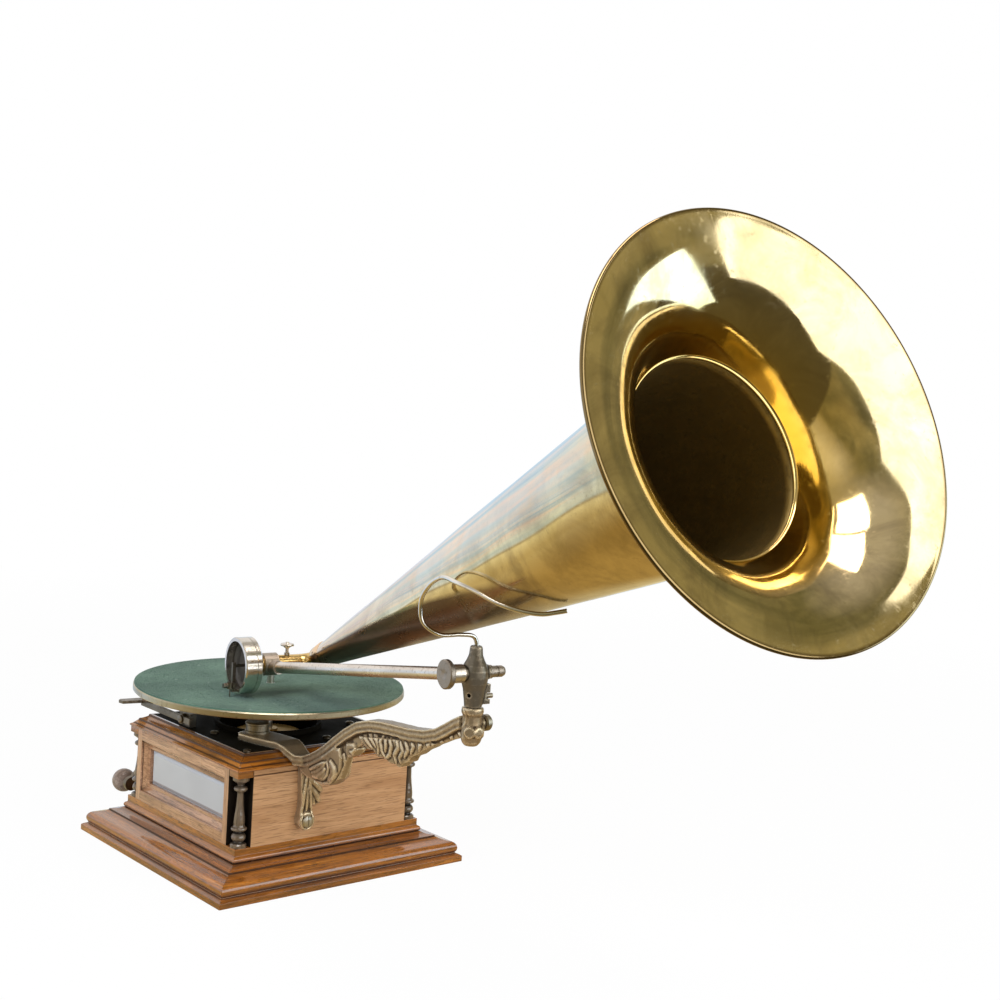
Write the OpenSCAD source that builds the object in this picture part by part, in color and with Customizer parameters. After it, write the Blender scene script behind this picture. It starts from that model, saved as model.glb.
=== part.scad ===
// Disc phonograph with a front arm, brass horn and wound spring motor.
// Frame: X right along the front, Y to the back, Z up, origin under the case centre. Millimetres.

/* [Case] */
// Half width of the base at the table
base_half = 133.4; // [120:0.1:145]
// Half width of the case between outer faces
case_half = 101; // [95:0.5:108]
// Depth of the corner notches that hold the columns
notch = 15.6; // [14:0.1:20]
// Height where the panels stand on the base
base_top = 38.5; // [34:0.5:44]
// Height where the panels end
panel_top = 107.4; // [100:0.2:112]
// Height of the case top
case_top = 120; // [115:0.5:126]
// Window stile width
stile = 8; // [6:0.5:12]
// Window rail height
rail = 10; // [8:0.5:14]

/* [Turntable] */
// Spindle position across the case
spindle_x = -7; // [-10:0.5:10]
// Spindle position from front to back
spindle_y = 2; // [-10:0.5:10]
// Platter radius, for a ten inch disc
platter_r = 129; // [120:0.5:130]
// Height of the felt surface
felt_top = 160.8; // [155:0.2:166]
// Platter rim height
rim_h = 6; // [5:0.5:12]
// Spindle nub diameter
spindle_d = 7; // [6:0.1:8]

/* [Arm and horn] */
// Post position across the case
post_x = -36; // [-45:0.5:-25]
// Reach of the bracket from the case front to the post
reach = 234; // [220:0.5:245]
// Yaw of the arm and horn from the case axis
arm_yaw = 8; // [0:0.1:12]
// Height of the tilt pin
pin_z = 235; // [225:0.5:245]
// Distance from post to elbow
elbow_y = 288; // [275:0.5:300]
// Horn rise above level
horn_rise = 23.2; // [15:0.1:30]
// Turn of the horn on the elbow away from the arm's own line
horn_turn = 0.7; // [-2:0.1:2]
// Horn radius at the bell rim
bell_r = 141.5; // [125:0.5:150]
// Distance along the axis to the bell rim
bell_s = 651.5; // [630:0.5:700]
// Distance along the axis to the bell seam
seam_s = 589.5; // [570:0.5:620]
// Sheet brass thickness
sheet = 0.7; // [0.5:0.05:1.5]
// Sound box diameter
box_d = 52; // [45:0.5:60]
// Crutch wire diameter
wire_d = 3.4; // [3:0.1:5]

/* [Motor] */
// Gear module of the spring train
gear_m = 1; // [0.8:0.1:1.2]
// Teeth on the spring barrel
barrel_teeth = 78; // [70:1:84]
// Teeth on the train pinions
pinion_teeth = 13; // [12:1:16]
// Teeth on the train wheel
wheel_teeth = 65; // [60:1:72]
// Teeth on the governor driving wheel
top_teeth = 60; // [54:1:64]
// Teeth on the governor pinion
gov_teeth = 12; // [12:1:14]
// Teeth on the crown wheel
crown_teeth = 32; // [28:1:36]
// Teeth on the winding pinion
wind_teeth = 14; // [12:1:16]
// Crank throw
crank_throw = 63; // [55:0.5:68]
// Radial running clearance of turning fits
fit = 0.05; // [0.02:0.01:0.1]

/* [Hidden] */
$fn = 64;

gap = 0.03;
wall = notch;
panel_half = case_half - notch;
post_y = -case_half - reach;
felt_h = 1.6;
platter_top = felt_top - felt_h;
rim_z = platter_top - rim_h;
web = 3;
bed_t = 5;
ledge = panel_half - 6.4;
bed_z = case_top - bed_t;
well_r = 47;
well_floor = 104;
plate_z = 34;
plate_t = 4;
shaft_r = 4;
arbor_r = 3;
gov_r = 2;
S = [spindle_x, spindle_y];
ta = 66.9;
d_st = gear_m * (pinion_teeth + wheel_teeth) / 2;
T = S + d_st * [cos(ta), sin(ta)];
d_tb = gear_m * (pinion_teeth + barrel_teeth) / 2;
ba = 174.9;
B = T + d_tb * [cos(ba), sin(ba)];
ga = 225;
d_sg = gear_m * (top_teeth + gov_teeth) / 2;
G = S + d_sg * [cos(ga), sin(ga)];
crown_r = 23;
crown_face = 6;
crown_m = 2 * crown_r / crown_teeth;
crown_z = 69;
crown_pitch = crown_z + 5.6;
crank_z = crown_pitch + crown_m * wind_teeth / 2;
crank_x = B[0];
wind_y = B[1] + crown_r;
crank_a = atan2(-47, -42);
crank_y = 136;
pillars = [[13.4 - panel_half, -8], [panel_half - 19.4, -30], [12, 15.4 - panel_half], [45, panel_half - 11.4]];
screw_d = panel_half - 4.4;
screws = [[-screw_d, -screw_d], [screw_d, -screw_d], [screw_d, screw_d], [13 - screw_d, screw_d]];
brake_x = 3.4 - panel_half;
brake_z = case_top + 7;
brake_y = 30;
pad_in = platter_r - 6;
pad_x = brake_x - 3;
pad_d = spindle_y - brake_y + sqrt(pow(platter_r - 3, 2) - pow(pad_x - spindle_x, 2));
horn_k = 0.1036;
horn_r0 = 7.2;
socket_top = pin_z - 27;
socket_low = pin_z - 58;
pin_r = 3;
tube_r = 5.2;
horn_tip = 20;
elbow_bend = 14;
bore_r = 8;
box_x = -57;
box_t = 19.6;
box_z = felt_top + box_d / 2 + 2.6;
elbow_z = box_z;

function arc(cx, cy, r, a0, a1, n) = [for (i = [0:n]) let (a = a0 + (a1 - a0) * i / n)
  [cx + r * cos(a), cy + r * sin(a)]];
function rel(pts, dx, dy) = [for (p = pts) [p[0] + dx, p[1] + dy]];
function horn_rad(s) = horn_r0 + horn_k * s;
function inv(a) = tan(a) * 180 / PI - a;
function flank(r, n, m) = let (rb = n * m / 2 * cos(20))
  90 / n * 0.84 + inv(20) - (r > rb ? inv(acos(rb / r)) : 0);
function tooth(n, m, i) = let (rp = n * m / 2, rr = rp - 1.3 * m, rt = rp + 0.85 * m, a = 360 * i / n)
  [for (q = [[rr, -1], [rp, -1], [rt, -1], [rt, 1], [rp, 1], [rr, 1]])
    q[0] * [cos(a + q[1] * flank(q[0], n, m)), sin(a + q[1] * flank(q[0], n, m))]];
function gear_pts(n, m) = [for (i = [0:n - 1]) each tooth(n, m, i)];

module gear(n, m, h, bore) {
  difference() {
    linear_extrude(height = h) polygon(gear_pts(n, m));
    translate([0, 0, -1]) cylinder(r = bore, h = h + 2);
  }
}

// A square course of moulding in four mitred lengths. Profile points are half width and height.
module course(pts) {
  for (i = [0:3]) rotate(90 * i) intersection() {
    rotate([90, 0, 0]) linear_extrude(height = 400, center = true) polygon(pts);
    translate([gap, 0, -1]) linear_extrude(height = 200) polygon([[0, 0], [200, -200], [200, 200]]);
  }
}

module box(a, b) {
  translate(a) cube(b - a);
}

// A four sided frustum with flat faces, half sizes a at z0 and b at z1
module frustum(a, b, z0, z1) {
  intersection() {
    rotate([90, 0, 0]) linear_extrude(height = 600, center = true)
      polygon([[-a[0], z0], [a[0], z0], [b[0], z1], [-b[0], z1]]);
    rotate([90, 0, 90]) linear_extrude(height = 600, center = true)
      polygon([[-a[1], z0], [a[1], z0], [b[1], z1], [-b[1], z1]]);
  }
}

module arm_frame() {
  translate([post_x, post_y, 0]) rotate(-arm_yaw) children();
}

module along_x() {
  rotate([0, 90, 0]) children();
}

module horn_frame() {
  arm_frame() translate([0, elbow_y, elbow_z]) rotate([90 - horn_rise, 0, horn_turn]) children();
}

// Case
base_pts = concat([[panel_half, 0], [base_half, 0], [base_half, 5.2], [base_half - 1.8, 6.4],
  [base_half - 4.8, 7.6]],
  arc(base_half - 9.8, 12.6, 6.3, -42, 70, 8),
  [[base_half - 11.2, 19], [base_half - 14.8, 20], [base_half - 17.6, 21], [base_half - 19, 22],
   [base_half - 19.5, 22], [base_half - 19.5, 23.3], [case_half + 8, 23.8], [case_half + 4.6, 24.8],
   [case_half + 2.7, 26.2]], arc(case_half + 0.2, 28.9, 2.7, -70, 80, 6),
  [[case_half, 32.4], [case_half, base_top], [panel_half, base_top]]);
module base_moulding() {
  color("#6b3f20") course(base_pts);
}

module bottom_board() {
  color("#8a5a33") box([-panel_half, -panel_half, 0], [panel_half, panel_half, 9]);
}

module wall_panel() {
  difference() {
    box([-panel_half, -case_half, base_top], [panel_half, -panel_half, panel_top]);
    box([-panel_half - 1, -case_half - 1, panel_top - 5.2],
      [panel_half + 1, -case_half + 1, panel_top - 4]);
  }
}

module front_panel() {
  color("#b5824f") difference() {
    wall_panel();
    translate([tab_x, -case_half + 10, tab_z]) rotate([90, 0, 0]) cylinder(r = 2, h = 30);
  }
}

module back_panel() {
  color("#b5824f") difference() {
    rotate(180) wall_panel();
    translate([crank_x, case_half - 40, crank_z]) rotate([-90, 0, 0]) cylinder(r = 9, h = 80);
  }
}

win_mid = (base_top + panel_top) / 2;
win_a = [panel_half - stile, (panel_top - base_top) / 2 - rail];
win_b = [win_a[0] - 4, win_a[1] - 4];
win_c = [win_b[0] - 3.5, win_b[1] - 3.5];
glass_s = [win_c[0] + 3, win_c[1] + 3];
module window_frame() {
  rotate([0, 0, -90]) translate([0, 0, win_mid]) rotate([90, 0, 0]) difference() {
    box([-panel_half, -(panel_top - base_top) / 2, panel_half],
      [panel_half, (panel_top - base_top) / 2, case_half]);
    frustum([win_a[0] - 0.5, win_a[1] - 0.5], [win_a[0] + 0.5, win_a[1] + 0.5],
      case_half - 2.5, case_half + 2.5);
    frustum(win_b, win_a, case_half - 6, case_half - 2);
    box([-win_c[0], -win_c[1], panel_half - 1], [win_c[0], win_c[1], case_half - 5.5]);
    box([-glass_s[0], -glass_s[1], panel_half - 1], [glass_s[0], glass_s[1], panel_half + 6]);
  }
}

module left_frame() {
  color("#8f5c35") window_frame();
}

module right_frame() {
  color("#8f5c35") rotate(180) window_frame();
}

module glass_pane() {
  rotate([0, 0, -90]) translate([0, 0, win_mid]) rotate([90, 0, 0]) union() {
    box([-glass_s[0], -glass_s[1], panel_half + 2.5], [glass_s[0], glass_s[1], panel_half + 6]);
    frustum([win_c[0] - 0.4, win_c[1] - 0.4], [win_c[0] - 4.4, win_c[1] - 4.4],
      panel_half + 5.9, panel_half + 8.4);
  }
}

module left_glass() {
  color("#c3c6c6") glass_pane();
}

module right_glass() {
  color("#c3c6c6") rotate(180) glass_pane();
}

module corners(d) {
  for (x = [-1, 1], y = [-1, 1]) translate([x * d, y * d, 0]) children();
}

module corner_posts() {
  color("#2a1a10") corners(panel_half - 8) box([-8, -8, base_top], [8, 8, panel_top]);
}

col_h = panel_top - 5.8 - base_top;
col_k = (wall / 2 - 0.4) / 7.4;
col_pts = [[0, 0], [7.4, 0], [7.4, 2.4], [6.4, 3.4], [4.2, 4.2], [4, 5], [5.4, 6], [6.4, 7.6], [6.6, 9.2],
  [6.2, 10.8], [5, 12.4], [3.4, 13.4], [3.2, 14.2], [5.8, 14.8], [7, 15.6], [7.2, 16.6], [6.8, 17.6], [5.4, 18.4],
  [4.9, 20], [5.1, 22], [5, 25], [4.5, 29], [3.8, 34], [3.2, 40], [2.9, col_h - 15], [3, col_h - 13.4],
  [4.8, col_h - 12.8], [5.9, col_h - 11.8], [6.2, col_h - 10.6], [5.8, col_h - 9.4], [4.4, col_h - 8.6],
  [3.1, col_h - 7.8], [3, col_h - 7], [4, col_h - 5.6], [6, col_h - 4.2], [7.4, col_h - 3], [7.4, col_h],
  [0, col_h]];
module corner_columns() {
  color("#4a3020") corners(panel_half + wall / 2) translate([0, 0, base_top]) rotate_extrude()
    polygon([for (p = col_pts) [p[0] * col_k, p[1]]]);
}

module corner_caps() {
  color("#6b3f20") corners(panel_half + wall / 2)
    box([-wall / 2, -wall / 2, panel_top - 5.8], [wall / 2, wall / 2, panel_top]);
}

top_pts = [[ledge, panel_top], [case_half, panel_top], [case_half + 1.2, panel_top + 0.6],
  [case_half + 1.2, panel_top + 1.8], [case_half - 0.8, panel_top + 2.8], [case_half - 2.4, panel_top + 4.2],
  [case_half - 3.8, panel_top + 5.6], [case_half - 5.2, case_top - 5.8], [case_half - 5.2, case_top - 4.8],
  [case_half - 7.4, case_top - 4.2], [case_half - 9.6, case_top - 3.1], [case_half - 11.4, case_top - 2],
  [case_half - 12.1, case_top - 1.6], [case_half - 12.1, case_top], [panel_half, case_top],
  [panel_half, bed_z], [ledge, bed_z]];
module top_moulding() {
  color("#6b3f20") course(top_pts);
}

// Motor frame
module bedplate() {
  color("#141414") difference() {
    union() {
      difference() {
        box([-panel_half, -panel_half, bed_z], [panel_half, panel_half, case_top]);
        translate([S[0], S[1], bed_z - 1]) cylinder(r = well_r + 1, h = 20);
      }
      translate([S[0], S[1], 0]) rotate_extrude()
        polygon([[0, well_floor], [well_r + 4, well_floor], [well_r + 4, case_top + 4],
          [well_r + 3, case_top + 4.6],
          [well_r + 1, case_top + 4.6], [well_r, case_top + 4], [well_r, well_floor + 4], [10, well_floor + 4],
          [10, well_floor + 5.5], [0, well_floor + 5.5]]);
      translate([S[0], S[1], well_floor - 8]) cylinder(r = 9, h = 9);
    }
    translate([S[0], S[1], 80]) cylinder(r = shaft_r + fit, h = 60);
    translate([T[0], T[1], 90]) cylinder(r = arbor_r + fit, h = 17.2);
    translate([G[0], G[1], 90]) cylinder(r = gov_r + fit, h = 40);
    for (p = pillars) translate([p[0], p[1], 100]) cylinder(r = 2, h = 40);
    for (p = screws) translate([p[0], p[1], 100]) cylinder(r = 1.9, h = 40);
    translate([nut_p[0], nut_p[1], 100]) cylinder(r = 3, h = 40);
  }
}

module screw_head(r, h) {
  difference() {
    rotate_extrude() polygon([[0, 0], [r, 0], [r, h * 0.55], [r * 0.8, h * 0.85], [r * 0.4, h], [0, h]]);
    box([-0.5, -r - 1, h * 0.6], [0.5, r + 1, h + 1]);
  }
}

module bed_screws() {
  color("#8b8478") {
    for (p = screws) translate([p[0], p[1], case_top]) {
      screw_head(3.6, 2.2);
      translate([0, 0, -bed_t]) cylinder(r = 1.9, h = bed_t + 0.2);
    }
    for (p = pillars) translate([p[0], p[1], case_top]) {
      screw_head(4, 2.4);
      translate([0, 0, -14]) cylinder(r = 2, h = 14.2);
    }
  }
}

module motor_pillars() {
  color("#3a3a3a") for (p = pillars) translate([p[0], p[1], 0]) difference() {
    translate([0, 0, plate_z + plate_t]) cylinder(r = 4, h = bed_z - plate_z - plate_t);
    translate([0, 0, case_top - 14]) cylinder(r = 2, h = 20);
  }
}

module motor_plate() {
  color("#2b2b2b") difference() {
    box([5.4 - panel_half, 5.4 - panel_half, plate_z],
      [panel_half - 5.4, panel_half - 1.4, plate_z + plate_t]);
    translate([S[0], S[1], plate_z + 1]) cylinder(r = shaft_r + fit, h = 10);
    translate([T[0], T[1], plate_z + 1]) cylinder(r = arbor_r + fit, h = 10);
    translate([B[0], B[1], plate_z + 1]) cylinder(r = shaft_r + fit, h = 10);
    translate([G[0], G[1], plate_z + 1]) cylinder(r = gov_r + fit, h = 10);
    corners(panel_half - 5.4) box([-24, -24, plate_z - 1], [24, 24, plate_z + 10]);
    translate([36, -18, plate_z - 1]) cylinder(r = 15, h = 10);
  }
}

module crank_hanger() {
  color("#2b2b2b") difference() {
    union() {
      box([crank_x - 7, wind_y + 4.5, crank_z], [crank_x + 7, ledge - 2, bed_z]);
      translate([crank_x, wind_y + 4.5, crank_z]) rotate([-90, 0, 0]) cylinder(r = 7, h = ledge - wind_y - 6.5);
    }
    translate([crank_x, wind_y, crank_z]) rotate([-90, 0, 0]) cylinder(r = shaft_r + fit, h = 30);
  }
}

module crank_bush() {
  color("#b08d4a") translate([crank_x, 0, crank_z]) rotate([-90, 0, 0]) rotate_extrude()
    polygon([[shaft_r + fit, panel_half - 2], [9, panel_half - 2], [9, case_half], [14, case_half],
      [14, case_half + 1.6], [12, case_half + 2.6], [8, case_half + 3], [7, case_half + 6],
      [shaft_r + fit, case_half + 6]]);
}

// Brake: a lever on a level pivot, lifting its pad against the platter from below
module brake_post() {
  color("#8b8b86") {
    box([brake_x - 0.6, brake_y - 10, case_top], [brake_x + 6, brake_y + 10, case_top + 13]);
    translate([brake_x - 4.9, brake_y, brake_z]) along_x() cylinder(r = 2.5, h = 4.4);
    translate([brake_x - 4.8, brake_y, brake_z]) rotate([0, -90, 0]) screw_head(4, 1.8);
  }
}

module brake_lever() {
  color("#8b8b86") difference() {
    union() {
      translate([brake_x - 4.6, brake_y, brake_z]) along_x() cylinder(r = 5, h = 3.7);
      box([brake_x - 4.6, brake_y - 16, brake_z - 3], [brake_x - 0.9, brake_y + pad_d + 9, brake_z + 3]);
      translate([0, 0, brake_z]) linear_extrude(height = 3) polygon([[brake_x - 0.9, brake_y + pad_d - 3],
        [brake_x - 0.9, brake_y + pad_d + 16], [brake_x - 22, brake_y + pad_d + 19],
        [brake_x - 25, brake_y + pad_d + 16], [brake_x - 24, brake_y + pad_d + 9],
        [brake_x - 4.6, brake_y + pad_d + 5], [brake_x - 4.6, brake_y + pad_d - 3]]);
    }
    translate([brake_x - 10, brake_y, brake_z]) along_x() cylinder(r = 2.5 + fit, h = 30);
  }
}

module brake_pad() {
  color("#5b4632") box([pad_x - 3, brake_y + pad_d - 6, brake_z + 3],
    [pad_x + 3, brake_y + pad_d + 4, rim_z - 1.6]);
}

// Turntable
module platter() {
  color("#c9c4b0") translate([S[0], S[1], 0]) rotate_extrude()
    polygon([[shaft_r, platter_top], [platter_r - 1, platter_top], [platter_r, platter_top - 1],
      [platter_r, rim_z + 1], [platter_r - 1, rim_z], [pad_in, rim_z], [pad_in, platter_top - web],
      [22, platter_top - web], [17, platter_top - 13], [shaft_r, platter_top - 14]]);
}

module felt_mat() {
  color("#3f5a4a") translate([S[0], S[1], platter_top]) difference() {
    cylinder(r = platter_r - 1, h = felt_h);
    translate([0, 0, -1]) cylinder(r = shaft_r, h = 5);
  }
}

module spindle() {
  color("#b9b4a6") translate([S[0], S[1], 0]) rotate_extrude()
    polygon([[0, plate_z + 1.2], [shaft_r, plate_z + 1.2], [shaft_r, platter_top - 18], [7, platter_top - 17],
      [7, platter_top - 14], [shaft_r, platter_top - 14], [shaft_r, felt_top], [spindle_d / 2, felt_top],
      [spindle_d / 2, felt_top + 8.5], [spindle_d / 2 - 0.9, felt_top + 10], [0, felt_top + 10.4]]);
}

module spindle_pinion() {
  color("#a8843c") translate([S[0], S[1], 87.5]) rotate(ta) gear(pinion_teeth, gear_m, 7, shaft_r);
}

module top_wheel() {
  color("#a8843c") translate([S[0], S[1], 110.5]) {
    rotate(ga) gear(top_teeth, gear_m, 3.5, 9);
    difference() {
      translate([0, 0, -0.7]) cylinder(r = 9, h = 7);
      translate([0, 0, -2]) cylinder(r = shaft_r, h = 20);
    }
  }
}

// Train
module train_arbor() {
  color("#b9b4a6") translate([T[0], T[1], 0]) {
    translate([0, 0, plate_z + 1.2]) cylinder(r = arbor_r, h = 106.9 - plate_z - 1.2);
    translate([0, 0, 61.5]) rotate(ba) linear_extrude(height = 7) polygon(gear_pts(pinion_teeth, gear_m));
  }
}

module train_wheel() {
  color("#a8843c") translate([T[0], T[1], 89]) difference() {
    rotate(ta + 180 + 180 / wheel_teeth) gear(wheel_teeth, gear_m, 4, arbor_r);
    for (i = [0:4]) rotate(72 * i + 20) translate([19, 0, -1]) cylinder(r = 7, h = 10);
  }
}

module barrel_drum() {
  color("#b08d4a") translate([B[0], B[1], 0]) rotate_extrude()
    polygon([[shaft_r + fit, 40], [34, 40], [34, 63], [32.4, 63], [32.4, 42], [shaft_r + fit, 42]]);
}

module barrel_gear() {
  color("#a8843c") translate([B[0], B[1], 63])
    rotate(ba + 180 + 180 / barrel_teeth) gear(barrel_teeth, gear_m, 4, shaft_r + fit);
}

turns = 7;
seg = 16;
function coil(k, off) = let (r = 10 + 21.6 * k / (turns * seg) + off, a = 360 * k / seg) r * [cos(a), sin(a)];
module mainspring() {
  color("#5a5f66") translate([B[0], B[1], 43]) linear_extrude(height = 19)
    polygon(concat([for (k = [0:turns * seg]) coil(k, 0)], [for (k = [turns * seg:-1:0]) coil(k, 0.7)]));
}

module barrel_arbor() {
  color("#b9b4a6") translate([B[0], B[1], 0]) rotate_extrude()
    polygon([[0, plate_z + 1.2], [shaft_r, plate_z + 1.2], [shaft_r, 42.4], [7, 42.4], [7, 62.6],
      [shaft_r, 62.6],
      [shaft_r, crown_z + 9], [0, crown_z + 9]]);
}

module crown_wheel() {
  color("#a8843c") translate([B[0], B[1], 0]) {
    difference() {
      translate([0, 0, crown_z]) cylinder(r = crown_r + crown_face / 2, h = 4);
      translate([0, 0, crown_z - 1]) cylinder(r = shaft_r, h = 10);
    }
    for (i = [0:crown_teeth - 1]) rotate(90 + 360 / crown_teeth * (i + 0.5))
      translate([crown_r - crown_face / 2 + 0.2, 0, crown_z + 4]) rotate([90, 0, 90])
        linear_extrude(height = crown_face - 0.6)
          polygon([[-1, 0], [1, 0], [0.75, 1.6], [0.35, 2.5], [-0.35, 2.5], [-0.75, 1.6]]);
  }
}

module gov_arbor() {
  color("#b9b4a6") translate([G[0], G[1], plate_z + 1.2]) cylinder(r = gov_r, h = 115 - plate_z - 1.2);
}

module gov_pinion() {
  color("#a8843c") translate([G[0], G[1], 109])
    rotate(ga + 180 + 180 / gov_teeth) gear(gov_teeth, gear_m, 6, gov_r);
}

module gov_disc() {
  color("#b08d4a") translate([G[0], G[1], 0]) rotate_extrude()
    polygon([[gov_r, 50], [16, 50], [16, 52], [5, 52], [5, 58], [gov_r, 58]]);
}

module gov_weights() {
  color("#b08d4a") translate([G[0], G[1], 0]) for (i = [0:2]) rotate(120 * i)
    translate([12, 0, 72]) along_x() rotate_extrude()
      polygon([[0, 0], [4.4, 0], [5, 1], [5, 4], [4, 5.4], [0, 6]]);
}

module gov_springs() {
  color("#8a8f96") translate([G[0], G[1], 0]) {
    difference() {
      translate([0, 0, 88]) cylinder(r = 5, h = 6);
      translate([0, 0, 80]) cylinder(r = gov_r, h = 20);
    }
    for (i = [0:2]) rotate(120 * i) rotate([90, 0, 0]) linear_extrude(height = 4, center = true)
      polygon([[5, 53], [5.6, 53], [6.4, 58.4], [12, 67], [12, 77], [6.4, 86], [5.6, 92], [5, 92], [5, 86],
        [11.4, 76.4], [11.4, 67.6], [5, 58.4]]);
  }
}

// Crank
module crank_shaft() {
  color("#8b8b86") translate([crank_x, 0, crank_z]) rotate([-90, 0, 0]) {
    translate([0, 0, wind_y - 6]) cylinder(r = shaft_r, h = crank_y - wind_y + 6);
  }
}

module wind_pinion() {
  color("#a8843c") translate([crank_x, wind_y - 3, crank_z]) rotate([-90, 0, 0])
    rotate(90) difference() {
      linear_extrude(height = crown_face) polygon([for (i = [0:wind_teeth - 1])
        let (a = 360 * i / wind_teeth, rp = crown_m * wind_teeth / 2)
        each [for (q = [[rp - 1.9, -7.4], [rp, -4.2], [rp + 1, -2.4], [rp + 1, 2.4], [rp, 4.2],
          [rp - 1.9, 7.4]])
          q[0] * [cos(a + q[1]), sin(a + q[1])]]]);
      translate([0, 0, -1]) cylinder(r = shaft_r, h = 20);
    }
}

module crank_arm() {
  color("#8b8b86") translate([crank_x, crank_y, crank_z]) rotate([0, -crank_a, 0]) {
    rotate([-90, 0, 0]) {
      cylinder(r = 8, h = 7);
      translate([crank_throw, 0, 0]) cylinder(r = 7, h = 5);
      translate([crank_throw, 0, 4.9]) cylinder(r = 3, h = 24);
      translate([crank_throw, 0, 28.8]) cylinder(r = 4.4, h = 1.6);
    }
    box([0, 0, -4.4], [crank_throw, 5, 4.4]);
  }
}

module crank_knob() {
  color("#5d4a3a") translate([crank_x, crank_y, crank_z]) rotate([0, -crank_a, 0])
    translate([crank_throw, 5.3, 0]) rotate([-90, 0, 0]) rotate_extrude()
      polygon(concat([[pin_r + fit, 0], [6, 0], [6.4, 1.6]], arc(0, 11.7, 11.6, -58, 62, 14),
        [[pin_r + fit, 22.4]]));
}

// Front bracket, drawn in the plane through the post as distance out from the case front and height
// above the case top
foot_h = 7.2;
bend_d = 12;
reach_k = (reach - bend_d) / (234 - bend_d);
nut_p = [post_x - 14, 54 - case_half];
tab_x = post_x + 3;
tab_z = case_top - 63;
tab_y = case_half + 10;
module side(w, pts) {
  translate([post_x, 0, 0]) rotate([90, 0, 90]) linear_extrude(height = w, center = true)
    polygon([for (p = pts) [-case_half - (p[0] > bend_d ? bend_d + (p[0] - bend_d) * reach_k : p[0]),
      case_top + p[1]]]);
}

// A piece that lies along the case front, from points right of the post and above the case top
module facing(d0, d1, pts) {
  translate([post_x, -case_half - d0, case_top]) rotate([90, 0, 0])
    linear_extrude(height = d1 - d0) polygon(pts);
}

seat_pts = [[1.8, -11.4], [1.8, -8.8], [-0.6, -7.6], [-4, -4.6], [-6, -3.6], [-10, -0.6], [-11.6, 0]];
crest_pts = [[-15, foot_h], [-7, 4.5], [-1, 0.5], [4, -2], [11, -1], [21, 3], [31, 8.3], [41.6, 15], [56, 25.8],
  [70.3, 35.8], [87.3, 45.6], [105.8, 51], [123, 53.4], [140.8, 54.6], [161, 55.8], [181, 58.6], [195, 63],
  [206, 69], [217, 75.5], [226, 80]];
under_pts = [[226, 69], [219, 65.5], [210.5, 60], [198, 53.5], [182.5, 48.8], [161, 46], [141, 44.8],
  [123, 43.4], [106.5, 41], [90, 35.8], [74.5, 27], [61, 18], [46.5, 7], [35, -0.6], [24, -6.4], [13, -10.2],
  [4, -11.5]];
ridge_pts = concat(crest_pts, under_pts, seat_pts, [[-15, 0]]);
web_pts = [[4, -6], [13, -5], [24, -1.5], [35, 4], [46.5, 11], [61, 22], [74.5, 31], [90, 40], [106.5, 46],
  [123, 48], [141, 49.6], [161, 51], [182, 53.6], [198, 58], [210, 64], [219, 70], [226, 74], [226, 62],
  [213, 57], [196, 49], [180, 42], [165, 32.5], [151, 25], [138, 26.5], [114, 28.5], [96, 28], [87, 22.5],
  [77, 16], [72, 2.5], [66, -9.5], [57, -17], [44, -20.4], [30, -20], [14, -19], [5, -17], [1.8, -13]];
scroll_pts = [[6, -9], [13, -8.5], [24, -4], [35, 2], [46, 8], [57, 15], [66, 18], [70, 10], [69, 0], [64, -9],
  [56, -16.6], [44, -20], [30, -19.4], [16, -18.6], [8, -15]];
bud_pts = [[74, 24], [73, 16], [78, 12], [84, 15], [89, 21], [85, 26]];
leaf_pts = [[92, 34], [96, 30], [106, 26], [114, 27], [122, 22.5], [130, 24.5], [138, 21.5], [146, 22],
  [151, 20.5], [157, 25.5], [163, 28], [166, 33], [174, 36.5], [180, 41], [190, 46], [196, 50], [182, 50],
  [161, 45.4], [141, 42], [120, 39], [104, 36]];
stem_pts = [[-4, -13.4], [-3.4, -30], [-2.4, -46], [-4.6, -60], [10.6, -60], [8, -46], [7, -30], [7, -13.4]];
sprig_pts = [[6, -20], [13, -21], [19, -26], [18, -32], [21, -36], [18, -43], [19, -48], [12, -51], [6, -46]];
foot_pts = [[7, -14], [6.6, 4], [5, 26], [2, 44], [-2, 57], [-10, 64], [-24, 65], [-29, 63], [-31, 59],
  [-28, 42], [-22, 22], [-16, 6], [-11, -4], [-7, -14]];
module arm_bracket() {
  color("#7d7468") difference() {
    union() {
      intersection() {
        translate([post_x, -case_half, case_top - 20]) linear_extrude(height = 40) polygon(foot_pts);
        side(90, concat([[-70, 0], [-70, foot_h]], [for (i = [0:4]) crest_pts[i]],
          [[13, -10.2], [4, -11.5]], seat_pts));
      }
      side(13, ridge_pts);
      side(7, web_pts);
      side(14, scroll_pts);
      side(11, bud_pts);
      side(12, leaf_pts);
      facing(0, 8, stem_pts);
      facing(1, 6.6, sprig_pts);
      translate([tab_x, -case_half, tab_z]) rotate([90, 0, 0]) cylinder(r = 8.3, h = tab_y - case_half);
      translate([post_x, post_y, socket_low]) rotate_extrude() polygon([[0, 0], [5, 0], [7.6, 3], [8.6, 6.6],
        [8, 14], [7.6, 25], [8.9, 26], [8.9, socket_top - socket_low], [0, socket_top - socket_low]]);
      translate([post_x, post_y, socket_low + 12]) for (a = [40, 90, 140]) rotate(a - 180)
        translate([6.6, 0, 0]) along_x() cylinder(r = 4.6, h = 3.4);
      translate([post_x + 6, post_y, socket_low + 17]) along_x() cylinder(r = 5, h = 5);
    }
    translate([post_x, post_y, socket_low + 4]) cylinder(r = 5 + fit, h = 60);
    translate([post_x, post_y, socket_low + 17]) along_x() cylinder(r = 2.4, h = 30);
    translate([nut_p[0], nut_p[1], case_top - 20]) cylinder(r = 3, h = 60);
    translate([tab_x, -tab_y - 10, tab_z]) rotate([-90, 0, 0]) cylinder(r = 2, h = 60);
  }
}

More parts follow.
